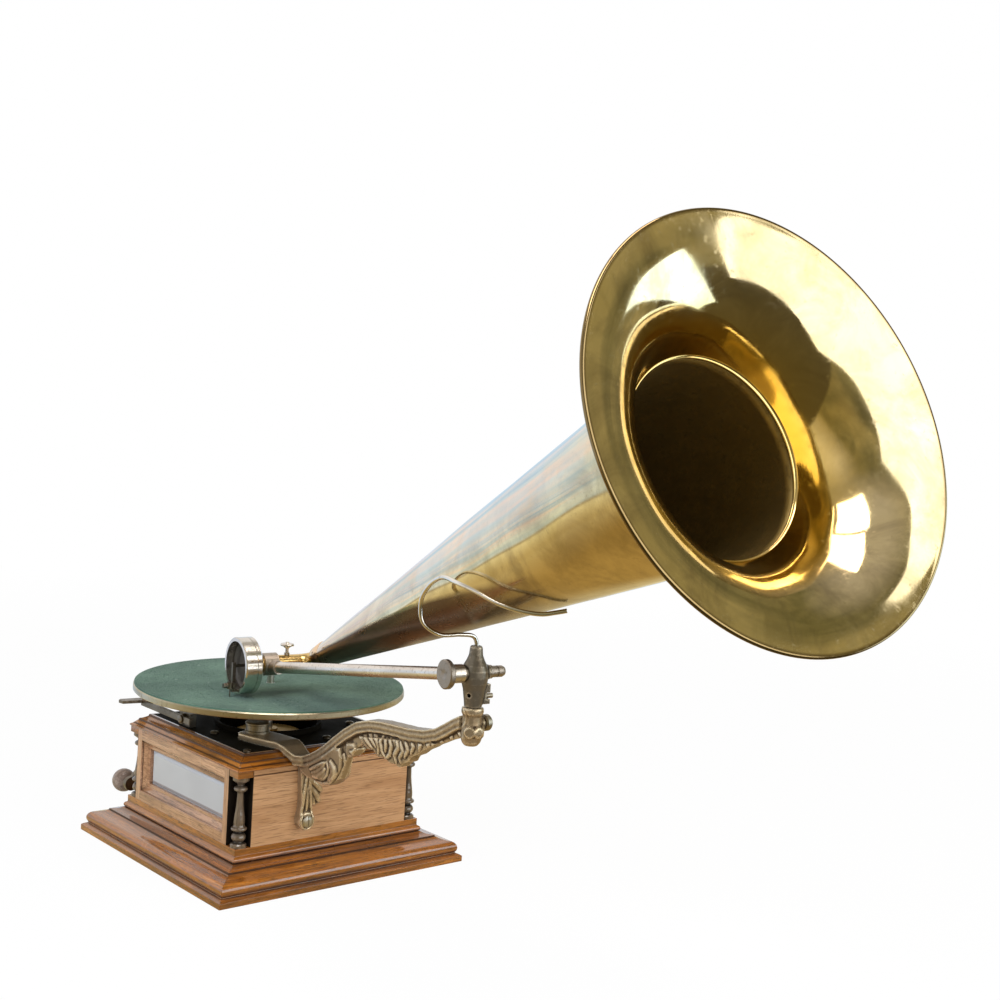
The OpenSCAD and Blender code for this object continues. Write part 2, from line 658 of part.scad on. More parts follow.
module bracket_nut() {
  color("#8b8478") translate([nut_p[0], nut_p[1], case_top + foot_h]) {
    rotate_extrude() polygon([[0, 0], [11.4, 0], [11.4, 2], [10.6, 2.6], [10.6, 7.4], [11.4, 8], [11.4, 9.2],
      [10, 10.4], [0, 10.4]]);
    translate([0, 0, -15]) cylinder(r = 2.95, h = 15.1);
  }
}

module bracket_screw() {
  color("#8b8478") translate([tab_x, -tab_y, tab_z]) rotate([90, 0, 0]) {
    screw_head(5.4, 2.4);
    translate([0, 0, -19]) cylinder(r = 1.95, h = 19.1);
  }
}

module socket_screw() {
  color("#8b8478") translate([post_x, post_y, socket_low + 17]) along_x() {
    translate([0, 0, 5.2]) cylinder(r = 2.4, h = 7);
    translate([0, 0, 11.1]) rotate_extrude()
      polygon([[0, 0], [5.6, 0], [6.6, 1], [6.6, 4.6], [5.4, 6], [0, 6.4]]);
  }
}

// Swivel yoke on the post
module yoke() {
  color("#85887c") arm_frame() difference() {
    union() {
      translate([0, 0, socket_low + 4.4]) cylinder(r = 5, h = 30);
      rotate_extrude() polygon([[0, socket_top + 0.3], [7, socket_top + 0.3], [7.4, socket_top + 4],
        [8.8, pin_z - 13], [10.2, pin_z - 8], [10.8, pin_z - 3], [10.6, pin_z + 2], [9.4, pin_z + 6],
        [7.2, pin_z + 10], [5.6, pin_z + 14], [5, pin_z + 20], [4.2, pin_z + 21.4], [0, pin_z + 21.4]]);
      translate([-12, 0, pin_z]) along_x() rotate_extrude() polygon([[0, 0], [6, 0], [6, 3], [7.4, 6], [8, 12],
        [7.4, 18], [6, 21], [6, 24], [0, 24]]);
      box([4, -3.6, socket_top + 2], [13.4, 3.6, pin_z - 9]);
    }
    translate([-30, 0, pin_z]) along_x() cylinder(r = pin_r + fit, h = 60);
    box([9.4, -5, socket_top + 6], [20, 5, socket_top + 11]);
    translate([0, 0, pin_z - 17]) rotate([90, 0, -60]) cylinder(r = 1.6, h = 20);
    translate([0, 0, pin_z + 11]) cylinder(r = wire_d / 2 + 0.1, h = 20);
  }
}

module yoke_latch() {
  color("#b7b3a2") arm_frame() {
    box([9.4, -2, socket_top + 6], [11, 2, socket_top + 11]);
    translate([10.9, 0, socket_top + 8]) along_x() cylinder(r = 2, h = 6);
  }
}

wire_p = [[0, 0, 250], [0, 0, 258], [-4, 0, 264], [-16, 0, 265.6], [-33, 2, 266], [-45, 8, 275], [-48, 7, 292],
  [-48, -5, 306], [-48, -23, 314], [-48, -42, 313], [-43.4, -60, 309.4], [-35, -78, 303], [-24, -92, 299],
  [-13, -103, 298], [-4, -109, 299.8], [3, -113, 301.6]];
function cr(a, b, c, d, t) = 0.5 * (2 * b + (c - a) * t + (2 * a - 5 * b + 4 * c - d) * t * t
  + (3 * b - a - 3 * c + d) * t * t * t);
function wp(i) = wire_p[max(0, min(len(wire_p) - 1, i))];
wire_c = concat([for (i = [0:len(wire_p) - 2], j = [0:3]) cr(wp(i - 1), wp(i), wp(i + 1), wp(i + 2), j / 4)],
  [wp(len(wire_p) - 1)]);
function unit(v) = v / norm(v);
function tang(i) = unit(wire_c[min(i + 1, len(wire_c) - 1)] - wire_c[max(i - 1, 0)]);
ring_n = 12;
module crutch_wire() {
  n = len(wire_c);
  normals = [for (i = 0, p = [0, 1, 0]; i < n; i = i + 1, p = i < n ? unit(p - (p * tang(i)) * tang(i)) : p)
    unit(p - (p * tang(i)) * tang(i))];
  pts = [for (i = [0:n - 1], k = [0:ring_n - 1]) let (b = cross(tang(i), normals[i]), a = 360 * k / ring_n)
    wire_c[i] + (wire_d / 2 - 0.02) * (cos(a) * normals[i] + sin(a) * b)];
  faces = concat([[for (k = [0:ring_n - 1]) k]],
    [for (i = [0:n - 2], k = [0:ring_n - 1]) let (a = i * ring_n + k, b = i * ring_n + (k + 1) % ring_n)
      each [[a, a + ring_n, b], [a + ring_n, b + ring_n, b]]],
    [[for (k = [ring_n - 1:-1:0]) (n - 1) * ring_n + k]]);
  color("#c2c0b8") arm_frame() polyhedron(points = pts, faces = faces);
}

// Arm and sound box
arm_a = [-17.6, 0, pin_z];
arm_b = [-44, elbow_y, elbow_z - 3];
module between(a, b, r, s0, s1) {
  v = b - a;
  translate(a) rotate([0, acos(v[2] / norm(v)), atan2(v[1], v[0])]) translate([0, 0, s0])
    cylinder(r = r, h = s1 - s0);
}

module pivot_pin() {
  color("#a9a9a2") arm_frame() translate([0, 0, pin_z]) along_x() {
    translate([0, 0, -24]) cylinder(r = pin_r, h = 48);
    translate([0, 0, -28.4]) rotate_extrude()
      polygon([[0, 0.6], [4, 0], [10.6, 0], [11.6, 0.8], [11.6, 3.8], [11, 4.6], [0, 4.6]]);
  }
}

module pivot_nut() {
  color("#c2c0b8") arm_frame() translate([12.3, 0, pin_z]) along_x() rotate_extrude()
    polygon([[pin_r, 0], [5.4, 0], [5.4, 2], [4.6, 2.4], [4.6, 6], [4, 6.4], [4, 7.2], [4.6, 7.6], [4.6, 12],
      [3.6, 14], [0, 14.8], [0, 11.8], [pin_r, 11.8]]);
}

module arm_tube() {
  color("#c2c0b8") arm_frame() difference() {
    union() {
      translate([-23.7, 0, pin_z]) along_x() cylinder(r = 7.4, h = 11.4);
      between(arm_a, arm_b, tube_r, 2, norm(arm_b - arm_a) - 9);
    }
    translate([-40, 0, pin_z]) along_x() cylinder(r = pin_r, h = 60);
    translate([-12.2, -20, pin_z - 20]) cube([20, 40, 40]);
  }
}

module arm_collar() {
  color("#c2c0b8") arm_frame() difference() {
    union() {
      translate([arm_b[0] - 7, elbow_y, elbow_z]) along_x() cylinder(r = 10.4, h = 14);
      between(arm_a, arm_b, tube_r + 1, norm(arm_b - arm_a) - 20, norm(arm_b - arm_a) - 8);
    }
    translate([-80, elbow_y, elbow_z]) along_x() cylinder(r = bore_r, h = 90);
    between(arm_a, arm_b, tube_r, 0, norm(arm_b - arm_a) - 9);
  }
}

module sound_tube() {
  color("#b8954a") {
    arm_frame() translate([0, elbow_y, elbow_z]) along_x() translate([0, 0, box_x]) difference() {
      cylinder(r = bore_r, h = -box_x - elbow_bend - gap);
      translate([0, 0, -1]) cylinder(r = bore_r - 1.2, h = 90);
    }
    horn_frame() translate([-elbow_bend, 0, elbow_bend]) rotate([90, 0, 0]) rotate(-90)
      rotate_extrude(angle = 90) translate([elbow_bend, 0]) difference() {
        circle(r = bore_r);
        circle(r = bore_r - 1.2);
      }
    horn_frame() rotate_extrude() polygon([[bore_r - 1.2, elbow_bend + gap], [bore_r, elbow_bend + gap],
      [bore_r, horn_tip - 2], [horn_rad(horn_tip) + 2, horn_tip - 2], [horn_rad(horn_tip) + 2, horn_tip - gap],
      [horn_rad(horn_tip) - gap, horn_tip - gap], [horn_rad(horn_tip + 16) - gap, horn_tip + 16],
      [horn_rad(horn_tip + 16) - 1.2, horn_tip + 16], [bore_r - 1.2, horn_tip + 4]]);
  }
}

module tube_screw() {
  color("#c2c0b8") arm_frame() translate([-26, elbow_y, elbow_z + bore_r]) rotate_extrude()
    polygon([[0, 0], [2.6, 0], [2.6, 2], [1.6, 2.6], [1.6, 6], [4, 8], [6.2, 8.6], [6.4, 9.4], [6, 10.4],
      [2, 11], [1.6, 12], [0, 12.2]]);
}

module sound_box() {
  color("#c2c0b8") arm_frame() translate([box_x, elbow_y, elbow_z]) rotate([0, -90, 0]) difference() {
    rotate_extrude() polygon([[0, 0], [12, 0], [14, 2], [23.4, 2.4], [26, 4.4], [26, 8], [25.2, 8.4],
      [25.2, 9.4], [26, 9.8], [26, box_t - 0.8], [25.2, box_t], [22.4, box_t], [22.4, 5.4], [0, 5.4]]);
    translate([0, 0, -1]) cylinder(r = bore_r - 1.2, h = 20);
  }
}

module box_inner() {
  color("#55503f") arm_frame() translate([box_x, elbow_y, elbow_z]) rotate([0, -90, 0]) {
    rotate_extrude() polygon([[19.4, 5.4], [22.38, 5.4], [22.38, 8], [0, 8], [0, 7.7], [19.4, 7.7]]);
    rotate_extrude() polygon([[17.4, 8], [22.38, 8], [22.38, 11], [20.6, 12.4], [18.4, 10.4]]);
  }
}

module needle_bar() {
  color("#b9b4a6") arm_frame() translate([box_x - box_t - 0.2, elbow_y, box_z]) {
    translate([0.2, 0, 0]) along_x() mirror([0, 0, 1]) translate([0, 0, -box_t + 8.2])
      cylinder(r = 1.4, h = box_t - 8);
    box([-3, -1.6, -24], [0, 1.6, 3]);
    box([-3.6, -6, -19], [0, 6, -15]);
    translate([-4.2, 0, -21]) rotate([0, 0, 0]) cylinder(r = 3, h = 6);
    translate([-4.2, 0, 0.3 - box_d / 2 - 2.6]) cylinder(r = 0.6, h = 8);
    translate([-11, 0, -18]) along_x() cylinder(r = 2.4, h = 4.2);
  }
}

// Horn of spun sheet: a long cone, then the bell with its seam bead and rolled rim
bell_n = 14;
function bell_pt(i) = let (t = 8 + 76 * i / bell_n)
  let (k0 = 1 - cos(8), k1 = 1 - cos(84), m0 = sin(8), m1 = sin(84))
  [horn_rad(seam_s) + (bell_r - horn_rad(seam_s)) * (1 - cos(t) - k0) / (k1 - k0),
   seam_s + (bell_s - seam_s) * (sin(t) - m0) / (m1 - m0)];
module horn_cone() {
  color("#c09a4a") horn_frame() rotate_extrude($fn = 96) polygon([[horn_rad(horn_tip), horn_tip],
    [horn_rad(seam_s), seam_s], [horn_rad(seam_s) + sheet, seam_s],
    [horn_rad(horn_tip + 14) + sheet, horn_tip + 14],
    [horn_rad(horn_tip + 14) + 1.8, horn_tip + 13], [horn_rad(horn_tip) + 2, horn_tip]]);
}

module horn_bell() {
  color("#c09a4a") horn_frame() rotate_extrude($fn = 96) polygon(concat(
    [[horn_rad(seam_s), seam_s]],
    [for (i = [1:bell_n]) bell_pt(i)],
    arc(bell_r + 0.6, bell_s - 1.4, 1.5, 90, -150, 8),
    [for (i = [bell_n - 1:-1:1]) bell_pt(i) + [sheet * 0.8, -sheet * 0.8]],
    [[horn_rad(seam_s) + 2.4, seam_s + 3],
    [horn_rad(seam_s) + 3, seam_s + 0.6], [horn_rad(seam_s) + 2.6, seam_s]]));
}

base_moulding();
bottom_board();
front_panel();
back_panel();
left_frame();
right_frame();
left_glass();
right_glass();
corner_posts();
corner_columns();
corner_caps();
top_moulding();
bedplate();
bed_screws();
motor_pillars();
motor_plate();
crank_hanger();
crank_bush();
brake_post();
brake_lever();
brake_pad();
platter();
felt_mat();
spindle();
spindle_pinion();
top_wheel();
train_arbor();
train_wheel();
barrel_drum();
barrel_gear();
mainspring();
barrel_arbor();
crown_wheel();
gov_arbor();
gov_pinion();
gov_disc();
gov_weights();
gov_springs();
crank_shaft();
wind_pinion();
crank_arm();
crank_knob();
arm_bracket();
bracket_nut();
bracket_screw();
socket_screw();
yoke();
yoke_latch();
crutch_wire();
pivot_pin();
pivot_nut();
arm_tube();
arm_collar();
sound_tube();
tube_screw();
sound_box();
box_inner();
needle_bar();
horn_cone();
horn_bell();
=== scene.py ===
import math
import bpy
import bmesh
import numpy as np
from mathutils import Matrix, Vector


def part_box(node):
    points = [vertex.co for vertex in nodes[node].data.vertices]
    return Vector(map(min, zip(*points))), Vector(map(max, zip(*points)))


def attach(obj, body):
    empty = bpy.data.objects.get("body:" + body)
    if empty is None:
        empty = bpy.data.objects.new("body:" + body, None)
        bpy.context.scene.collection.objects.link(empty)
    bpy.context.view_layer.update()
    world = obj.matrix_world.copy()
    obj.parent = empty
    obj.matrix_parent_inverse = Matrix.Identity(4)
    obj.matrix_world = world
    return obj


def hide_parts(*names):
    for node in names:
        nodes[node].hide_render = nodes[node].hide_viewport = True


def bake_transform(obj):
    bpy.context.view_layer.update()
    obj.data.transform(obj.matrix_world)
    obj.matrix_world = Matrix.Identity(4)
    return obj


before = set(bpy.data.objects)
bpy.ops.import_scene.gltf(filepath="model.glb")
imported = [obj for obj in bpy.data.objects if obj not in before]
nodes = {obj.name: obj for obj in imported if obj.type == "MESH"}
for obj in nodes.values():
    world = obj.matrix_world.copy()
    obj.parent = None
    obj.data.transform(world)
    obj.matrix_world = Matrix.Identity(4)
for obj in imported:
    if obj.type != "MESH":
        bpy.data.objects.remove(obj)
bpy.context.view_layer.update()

scene = bpy.context.scene
mm = 0.001
print("stage: frame loaded,", len(nodes), "nodes")


# camera, at the photograph's place
shot = {
    "place": (-0.7924, -1.2240, 0.4584),
    "right": (0.7566, -0.6503, 0.0614),
    "up": (0.0023, 0.0965, 0.9943),
    "focalPixels": 1512.1,
    "framePixels": 1000,
    "sensor": 36.0,
    "clipEnd": 50,
}


def placeCamera(s):
    right = Vector(s["right"]).normalized()
    up = Vector(s["up"])
    up = (up - right * up.dot(right)).normalized()
    back = right.cross(up)
    data = bpy.data.cameras.new("photoCamera")
    data.sensor_fit = "HORIZONTAL"
    data.sensor_width = s["sensor"]
    data.lens = s["focalPixels"] / s["framePixels"] * s["sensor"]
    data.clip_end = s["clipEnd"]
    cam = bpy.data.objects.new("photoCamera", data)
    turn = Matrix((right, up, back)).transposed().to_4x4()
    cam.matrix_world = Matrix.Translation(s["place"]) @ turn
    scene.collection.objects.link(cam)
    scene.camera = cam


placeCamera(shot)
print("stage: camera placed")


# small helpers for the shader tree of a material or the world; noise takes scale, detail, roughness, warp
class Shade:
    def __init__(self, owner):
        owner.use_nodes = True
        self.owner = owner
        self.tree = owner.node_tree
        self.skin = self.tree.nodes.get("Principled BSDF")

    def add(self, kind, **props):
        node = self.tree.nodes.new(kind)
        for key, value in props.items():
            setattr(node, key, value)
        return node

    def join(self, a, b):
        self.tree.links.new(a, b)

    def fill(self, socket, value):
        if hasattr(value, "is_output"):
            self.join(value, socket)
        else:
            socket.default_value = value

    def math(self, op, a, b=0.0):
        node = self.add("ShaderNodeMath", operation=op)
        self.fill(node.inputs[0], a)
        self.fill(node.inputs[1], b)
        return node.outputs[0]

    def times(self, a, b):
        return self.math("MULTIPLY", a, b)

    # vector maths; a dot product or a length comes back as a number
    def vector(self, op, a, b=None):
        node = self.add("ShaderNodeVectorMath", operation=op)
        self.fill(node.inputs[0], a)
        if b is not None:
            self.fill(node.inputs["Scale" if op == "SCALE" else 1], b)
        return node.outputs["Value" if op in ("DOT_PRODUCT", "LENGTH") else "Vector"]

    def place(self, kind="Object"):
        return self.add("ShaderNodeTexCoord").outputs[kind]

    def worn(self):
        return self.add("ShaderNodeAttribute", attribute_name="wear").outputs["Fac"]

    def split(self, vector):
        node = self.add("ShaderNodeSeparateXYZ")
        self.join(vector, node.inputs[0])
        return node.outputs

    def triple(self, x, y, z):
        node = self.add("ShaderNodeCombineXYZ")
        for socket, value in zip(node.inputs, (x, y, z)):
            self.fill(socket, value)
        return node.outputs[0]

    def hollow(self, reach):
        made = self.add("ShaderNodeAmbientOcclusion", only_local=True, samples=8)
        made.inputs["Distance"].default_value = reach
        return made.outputs["AO"]

    def noise(self, vector, scale, detail=3.0, rough=0.55, warp=0.0):
        node = self.add("ShaderNodeTexNoise")
        self.join(vector, node.inputs["Vector"])
        node.inputs["Scale"].default_value = scale
        node.inputs["Detail"].default_value = detail
        node.inputs["Roughness"].default_value = rough
        node.inputs["Distortion"].default_value = warp
        return node.outputs["Fac"]

    def ramp(self, value, stops):
        node = self.add("ShaderNodeValToRGB")
        bar = node.color_ramp.elements
        while len(bar) < len(stops):
            bar.new(0.5)
        for item, (at, tone) in zip(bar, stops):
            item.position = at
            item.color = (*tone, 1)
        self.fill(node.inputs[0], value)
        return node.outputs[0]

    def span(self, value, low, high, outLow=0.0, outHigh=1.0):
        node = self.add("ShaderNodeMapRange")
        self.fill(node.inputs[0], value)
        for i, number in enumerate((low, high, outLow, outHigh)):
            node.inputs[i + 1].default_value = number
        return node.outputs[0]

    def blendTone(self, factor, a, b):
        node = self.add("ShaderNodeMix", data_type="RGBA")
        self.fill(node.inputs[0], factor)
        for socket, value in ((node.inputs[6], a), (node.inputs[7], b)):
            self.fill(socket, value if hasattr(value, "is_output") else (*value, 1))
        return node.outputs[2]

    def blendShader(self, factor, a, b):
        node = self.add("ShaderNodeMixShader")
        for socket, value in zip(node.inputs, (factor, a, b)):
            self.join(value, socket)
        return node.outputs[0]

    # where the camera looks straight on, or through glass
    def seenDirectly(self, path):
        return self.math("MAXIMUM", path.outputs["Is Camera Ray"], path.outputs["Is Transmission Ray"])

    def relief(self, height, strength, distance):
        node = self.add("ShaderNodeBump")
        node.inputs["Strength"].default_value = strength
        node.inputs["Distance"].default_value = distance
        self.join(height, node.inputs["Height"])
        self.join(node.outputs[0], self.skin.inputs["Normal"])

    def finish(self, **values):
        for key, value in values.items():
            self.fill(self.skin.inputs[key], value)
        return self.owner


def newShade(name):
    return Shade(bpy.data.materials.new(name))


# wood: grain runs along the named way, or along each mitred length; sizes in metres
wood = {
    "railEnd": 0.0775,
    "figureSize": (9, 95), "figure": (1.0, 5, 0.6, 0.6),
    "streakSize": (16, 520), "streak": (1.0, 4, 0.6),
    "fleck": (1.0, 2, 0.5), "cloud": (14.0, 3),
    "grimeAndShadeReach": 0.005, "grimeAndShade": (0.94, 0.55, 0, 0.92),
    "lineEdge": (0.0008, 0.0004, 0, 0.85),
    "shutFrom": (0.0850, 0.0853), "shutTone": (0.009, 0.006, 0.004),
    "grainStrength": 0.25, "grainDepth": 0.0006,
    "gloss": {"Coat Roughness": 0.1, "Coat IOR": 1.8, "Specular IOR Level": 0.2},
}


def woodFinish(name, tones, way, shine, coat, poreShare=0.5, fleckSize=(85, 1150), shut=None, lines=()):
    pale, mid, dark, pore = tones
    s = newShade(name)
    x, y, z = s.split(s.place())
    wideX, wideY = s.math("ABSOLUTE", x), s.math("ABSOLUTE", y)

    def either(test, a, b):
        keep = s.math("SUBTRACT", 1.0, test)
        return s.math("ADD", s.times(test, a), s.times(keep, b))

    if way == "x":
        u, v, w = x, y, z
    elif way == "z":
        u, v, w = z, x, y
    elif way == "course":
        side = s.math("GREATER_THAN", wideX, wideY)
        u, v, w = either(side, y, x), either(side, x, y), z
    else:
        side = s.math("GREATER_THAN", wideY, wood["railEnd"])
        u, v, w = either(side, z, y), either(side, y, z), x

    def stretched(along, across):
        return s.triple(s.times(u, along), s.times(v, across), s.times(w, across))

    figure = s.noise(stretched(*wood["figureSize"]), *wood["figure"])
    streak = s.noise(stretched(*wood["streakSize"]), *wood["streak"])
    fleck = s.noise(stretched(*fleckSize), *wood["fleck"])
    cloud = s.noise(s.place(), *wood["cloud"])
    tone = s.ramp(figure, ((0.32, dark), (0.5, mid), (0.70, pale)))
    tone = s.blendTone(s.span(streak, 0.42, 0.66, 0, 0.7), tone, dark)
    tone = s.blendTone(s.span(fleck, 0.54, 0.63, 0, poreShare), tone, pore)
    tone = s.blendTone(s.span(cloud, 0.35, 0.75, 0, 0.35), tone, mid)
    # grime and painted shade in the hollows, painted shade in dark lines along the moulding's grooves and
    # painted shadow in the shut corners carry no varnish
    # ambient occlusion darkens the hollows: grime and painted shade
    bare = [s.span(s.hollow(wood["grimeAndShadeReach"]), *wood["grimeAndShade"])]
    tone = s.blendTone(bare[0], tone, pore)
    wide = s.math("MAXIMUM", wideX, wideY)
    # dark lines at the moulding's grooves: painted shade
    for at in lines:
        off = s.math("ABSOLUTE", s.math("SUBTRACT", wide, at))
        bare.append(s.span(off, *wood["lineEdge"]))
        tone = s.blendTone(bare[-1], tone, pore)
    # dark shut corners of the recesses: painted shadow
    if shut:
        bare.append(s.span(wideX if shut == "x" else wideY, *wood["shutFrom"]))
        tone = s.blendTone(bare[-1], tone, wood["shutTone"])
    varnish = coat
    if coat:
        for patch in bare:
            varnish = s.times(s.math("SUBTRACT", 1.0, patch), varnish)
    grain = s.math("ADD", s.times(streak, 0.5), s.times(fleck, -0.9))
    s.relief(grain, wood["grainStrength"], wood["grainDepth"])
    rough = s.span(cloud, 0.3, 0.7, shine - 0.05, shine + 0.09)
    return s.finish(**{"Base Color": tone, "Roughness": rough, "Coat Weight": varnish, **wood["gloss"]})


# metal with tarnish spots, a faint cloud and fine wear; spots are their scale and share
metal = {"cloud": (26.0, 4, 0.6), "fine": (1400.0, 2, 0.5), "wearStrength": 0.1, "wearDepth": 0.0004}


def metalFinish(name, tones, shine, spots=(220.0, 0.35)):
    bright, dull, spotTone = tones
    s = newShade(name)
    at = s.place()
    cloud = s.noise(at, *metal["cloud"])
    speck = s.noise(at, spots[0], 3, 0.6)
    fine = s.noise(at, *metal["fine"])
    tone = s.blendTone(s.span(cloud, 0.34, 0.7), bright, dull)
    tone = s.blendTone(s.span(speck, 0.56, 0.72, 0, spots[1]), tone, spotTone)
    low = s.span(cloud, 0.3, 0.7, shine - 0.04, shine + 0.08)
    rough = s.math("ADD", low, s.span(speck, 0.5, 0.75, 0, 0.16))
    s.relief(s.math("ADD", fine, s.times(speck, 0.5)), metal["wearStrength"], metal["wearDepth"])
    return s.finish(**{"Base Color": tone, "Metallic": 1.0, "Roughness": rough})


# cast metal: rubbed bright on high edges, dark in the hollows, from the piece's wear attribute
castMetal = {"cloud": (60.0, 4, 0.6), "speck": (380.0, 3, 0.65), "grainStrength": 0.25, "grainDepth": 0.0006}


def castFinish(name, rubbed, skin, hollow, spotTone, metallic):
    s = newShade(name)
    at = s.place()
    cloud = s.noise(at, *castMetal["cloud"])
    speck = s.noise(at, *castMetal["speck"])
    wear = s.math("ADD", s.worn(), s.span(speck, 0.3, 0.7, -0.10, 0.10))
    tone = s.ramp(wear, ((0.22, hollow), (0.46, skin), (0.60, skin), (0.80, rubbed)))
    tone = s.blendTone(s.span(cloud, 0.5, 0.75, 0, 0.4), tone, spotTone)
    s.relief(s.math("ADD", speck, s.times(cloud, 0.6)), castMetal["grainStrength"], castMetal["grainDepth"])
    rough = s.span(wear, 0.3, 0.85, 0.48, 0.22)
    return s.finish(**{"Base Color": tone, "Metallic": metallic, "Roughness": rough})


# spun brass: warm drift in tone, dim smears and fine rings left by the spinning, with a painted pale
# reflection on top of the cone, a painted warm reflection near its tip, a painted dark reflection on its
# underside, a painted golden reflection in the bell's neck and a tarnished rim
spunBrass = {
    "drift": (9.0, 3, 0.5, 0.8), "cloud": (30.0, 4, 0.6, 0.5), "speck": (210.0, 3, 0.6),
    "scuff": (900.0, 2, 0.5), "stain": (15.0, 5, 0.65, 1.2), "puff": (19.0, 3, 0.5, 0.7),
    "outerTurn": (-0.1, 0.1),
    "stainTone": (0.40, 0.318, 0.19),
    "topReflectTones": ((0.74, 0.75, 0.72), (0.90, 0.74, 0.60)), "topReflectShare": 0.68,
    "topReflectRise": (-0.12, 0.25), "topReflectFrom": (0.16, 0.28), "topReflectTo": (0.62, 0.50, 0.1, 1.0),
    "tipReflectTone": (0.92, 0.66, 0.50), "tipReflectShare": 0.65, "tipReflectRise": (-0.1, 0.2), "tipReflectTo": (0.30, 0.14),
    "darkReflectTone": (0.125, 0.066, 0.034), "darkReflectShare": 0.94, "darkReflectClimb": 1.75, "darkReflectDrift": 0.10,
    "darkReflectEdge": (0.26, 0.16), "darkReflectTo": (0.47, 0.30), "darkReflectRough": 0.22,
    "neckReflectTone": (0.82, 0.56, 0.13), "neckReflectShare": 0.8, "neckReflectGirth": (0.098, 0.076), "neckReflectFrom": (0.586, 0.594),
    "rimTone": (0.22, 0.15, 0.06), "rimGirth": (0.1402, 0.1418, 0, 0.85),
    "rings": 620.0, "ringStrength": 0.035, "ringDepth": 0.0004,
}


def hornFinish(name, bright, warm, smear, line):
    b = spunBrass
    s = newShade(name)
    at = s.place()
    drift = s.noise(at, *b["drift"])
    cloud = s.noise(at, *b["cloud"])
    speck = s.noise(at, *b["speck"])
    scuff = s.noise(at, *b["scuff"])
    stain = s.noise(at, *b["stain"])
    puff = s.noise(at, *b["puff"])
    tone = s.blendTone(s.span(drift, 0.35, 0.68), bright, warm)
    tone = s.blendTone(s.span(cloud, 0.46, 0.74, 0, 0.62), tone, smear)
    tone = s.blendTone(s.span(speck, 0.64, 0.74, 0, 0.35), tone, smear)
    tone = s.blendTone(s.span(stain, 0.44, 0.66, 0, 0.7), tone, b["stainTone"])
    # distance along the axis, girth about it, upward share of the spoke and whether the face looks out
    shift = s.vector("SUBTRACT", at, line["start"])
    along = s.vector("DOT_PRODUCT", shift, line["way"])
    aside = s.vector("SUBTRACT", shift, s.vector("SCALE", line["way"], along))
    girth = s.vector("LENGTH", aside)
    spoke = s.vector("NORMALIZE", aside)
    rise = s.split(spoke)[2]
    outer = s.span(s.vector("DOT_PRODUCT", s.place("Normal"), spoke), *b["outerTurn"])
    # pale tone on the upward-facing outer side of the cone: a painted reflection
    topReflectMask = s.times(s.span(rise, *b["topReflectRise"]), s.span(along, *b["topReflectFrom"]))
    topReflectMask = s.times(topReflectMask, s.times(outer, s.span(along, *b["topReflectTo"])))
    topReflectTone = s.blendTone(s.span(puff, 0.50, 0.62), *b["topReflectTones"])
    tone = s.blendTone(s.times(topReflectMask, b["topReflectShare"]), tone, topReflectTone)
    # blush here is a warm tone on the upper side near the tip: a painted reflection
    blush = s.times(s.span(rise, *b["tipReflectRise"]), s.span(along, *b["tipReflectTo"]))
    tone = s.blendTone(s.times(blush, b["tipReflectShare"]), tone, b["tipReflectTone"])
    # dark tone on the underside, also rougher there: a painted reflection of the shaded machine below
    edge = s.math("ADD", rise, s.times(along, b["darkReflectClimb"]))
    low = s.span(s.math("ADD", edge, s.times(drift, b["darkReflectDrift"])), *b["darkReflectEdge"])
    darkReflectUnder = s.times(low, s.span(along, *b["darkReflectTo"]))
    tone = s.blendTone(s.times(darkReflectUnder, b["darkReflectShare"]), tone, b["darkReflectTone"])
    # golden tone on the inner faces of the bell's neck: a painted reflection
    neckReflect = s.times(s.span(girth, *b["neckReflectGirth"]), s.span(along, *b["neckReflectFrom"]))
    neckReflect = s.times(neckReflect, s.math("SUBTRACT", 1.0, outer))
    tone = s.blendTone(s.times(neckReflect, b["neckReflectShare"]), tone, b["neckReflectTone"])
    tone = s.blendTone(s.span(girth, *b["rimGirth"]), tone, b["rimTone"])
    ring = s.noise(s.triple(s.times(along, b["rings"]), 0.0, 0.0), 1.0, 2, 0.6)
    s.relief(s.math("ADD", ring, s.times(scuff, 0.4)), b["ringStrength"], b["ringDepth"])
    rough = s.math("ADD", s.span(cloud, 0.35, 0.75, 0.045, 0.14), s.span(speck, 0.58, 0.75, 0, 0.12))
    rough = s.math("ADD", rough, s.times(darkReflectUnder, b["darkReflectRough"]))
    return s.finish(**{"Base Color": tone, "Metallic": 1.0, "Roughness": rough})


# enamel, leather and rubber: one tone with dust in clouds
enamel = {"cloud": (40.0, 4), "chip": (420.0, 2), "chipStrength": 0.08, "chipDepth": 0.0004}


def enamelFinish(name, tone, dust, shine, glint=0.4):
    s = newShade(name)
    at = s.place()
    cloud = s.noise(at, *enamel["cloud"])
    chip = s.noise(at, *enamel["chip"])
    shade = s.blendTone(s.span(cloud, 0.4, 0.75, 0, 0.5), tone, dust)
    s.relief(chip, enamel["chipStrength"], enamel["chipDepth"])
    rough = s.span(cloud, 0.3, 0.7, shine, shine + 0.2)
    return s.finish(**{"Base Color": shade, "Roughness": rough, "Specular IOR Level": glint})


# felt: worn patches, tufts, pale fibres and scraps of lint
felt = {
    "fibre": (1500.0, 3, 0.7), "tuft": (260.0, 4, 0.65, 0.6), "patch": (18.0, 4), "scrap": (170.0, 1, 0.4),
    "napStrength": 0.55, "napDepth": 0.0008,
    "gloss": {"Roughness": 0.95, "Specular IOR Level": 0.1, "Sheen Weight": 0.12, "Sheen Roughness": 0.5},
}


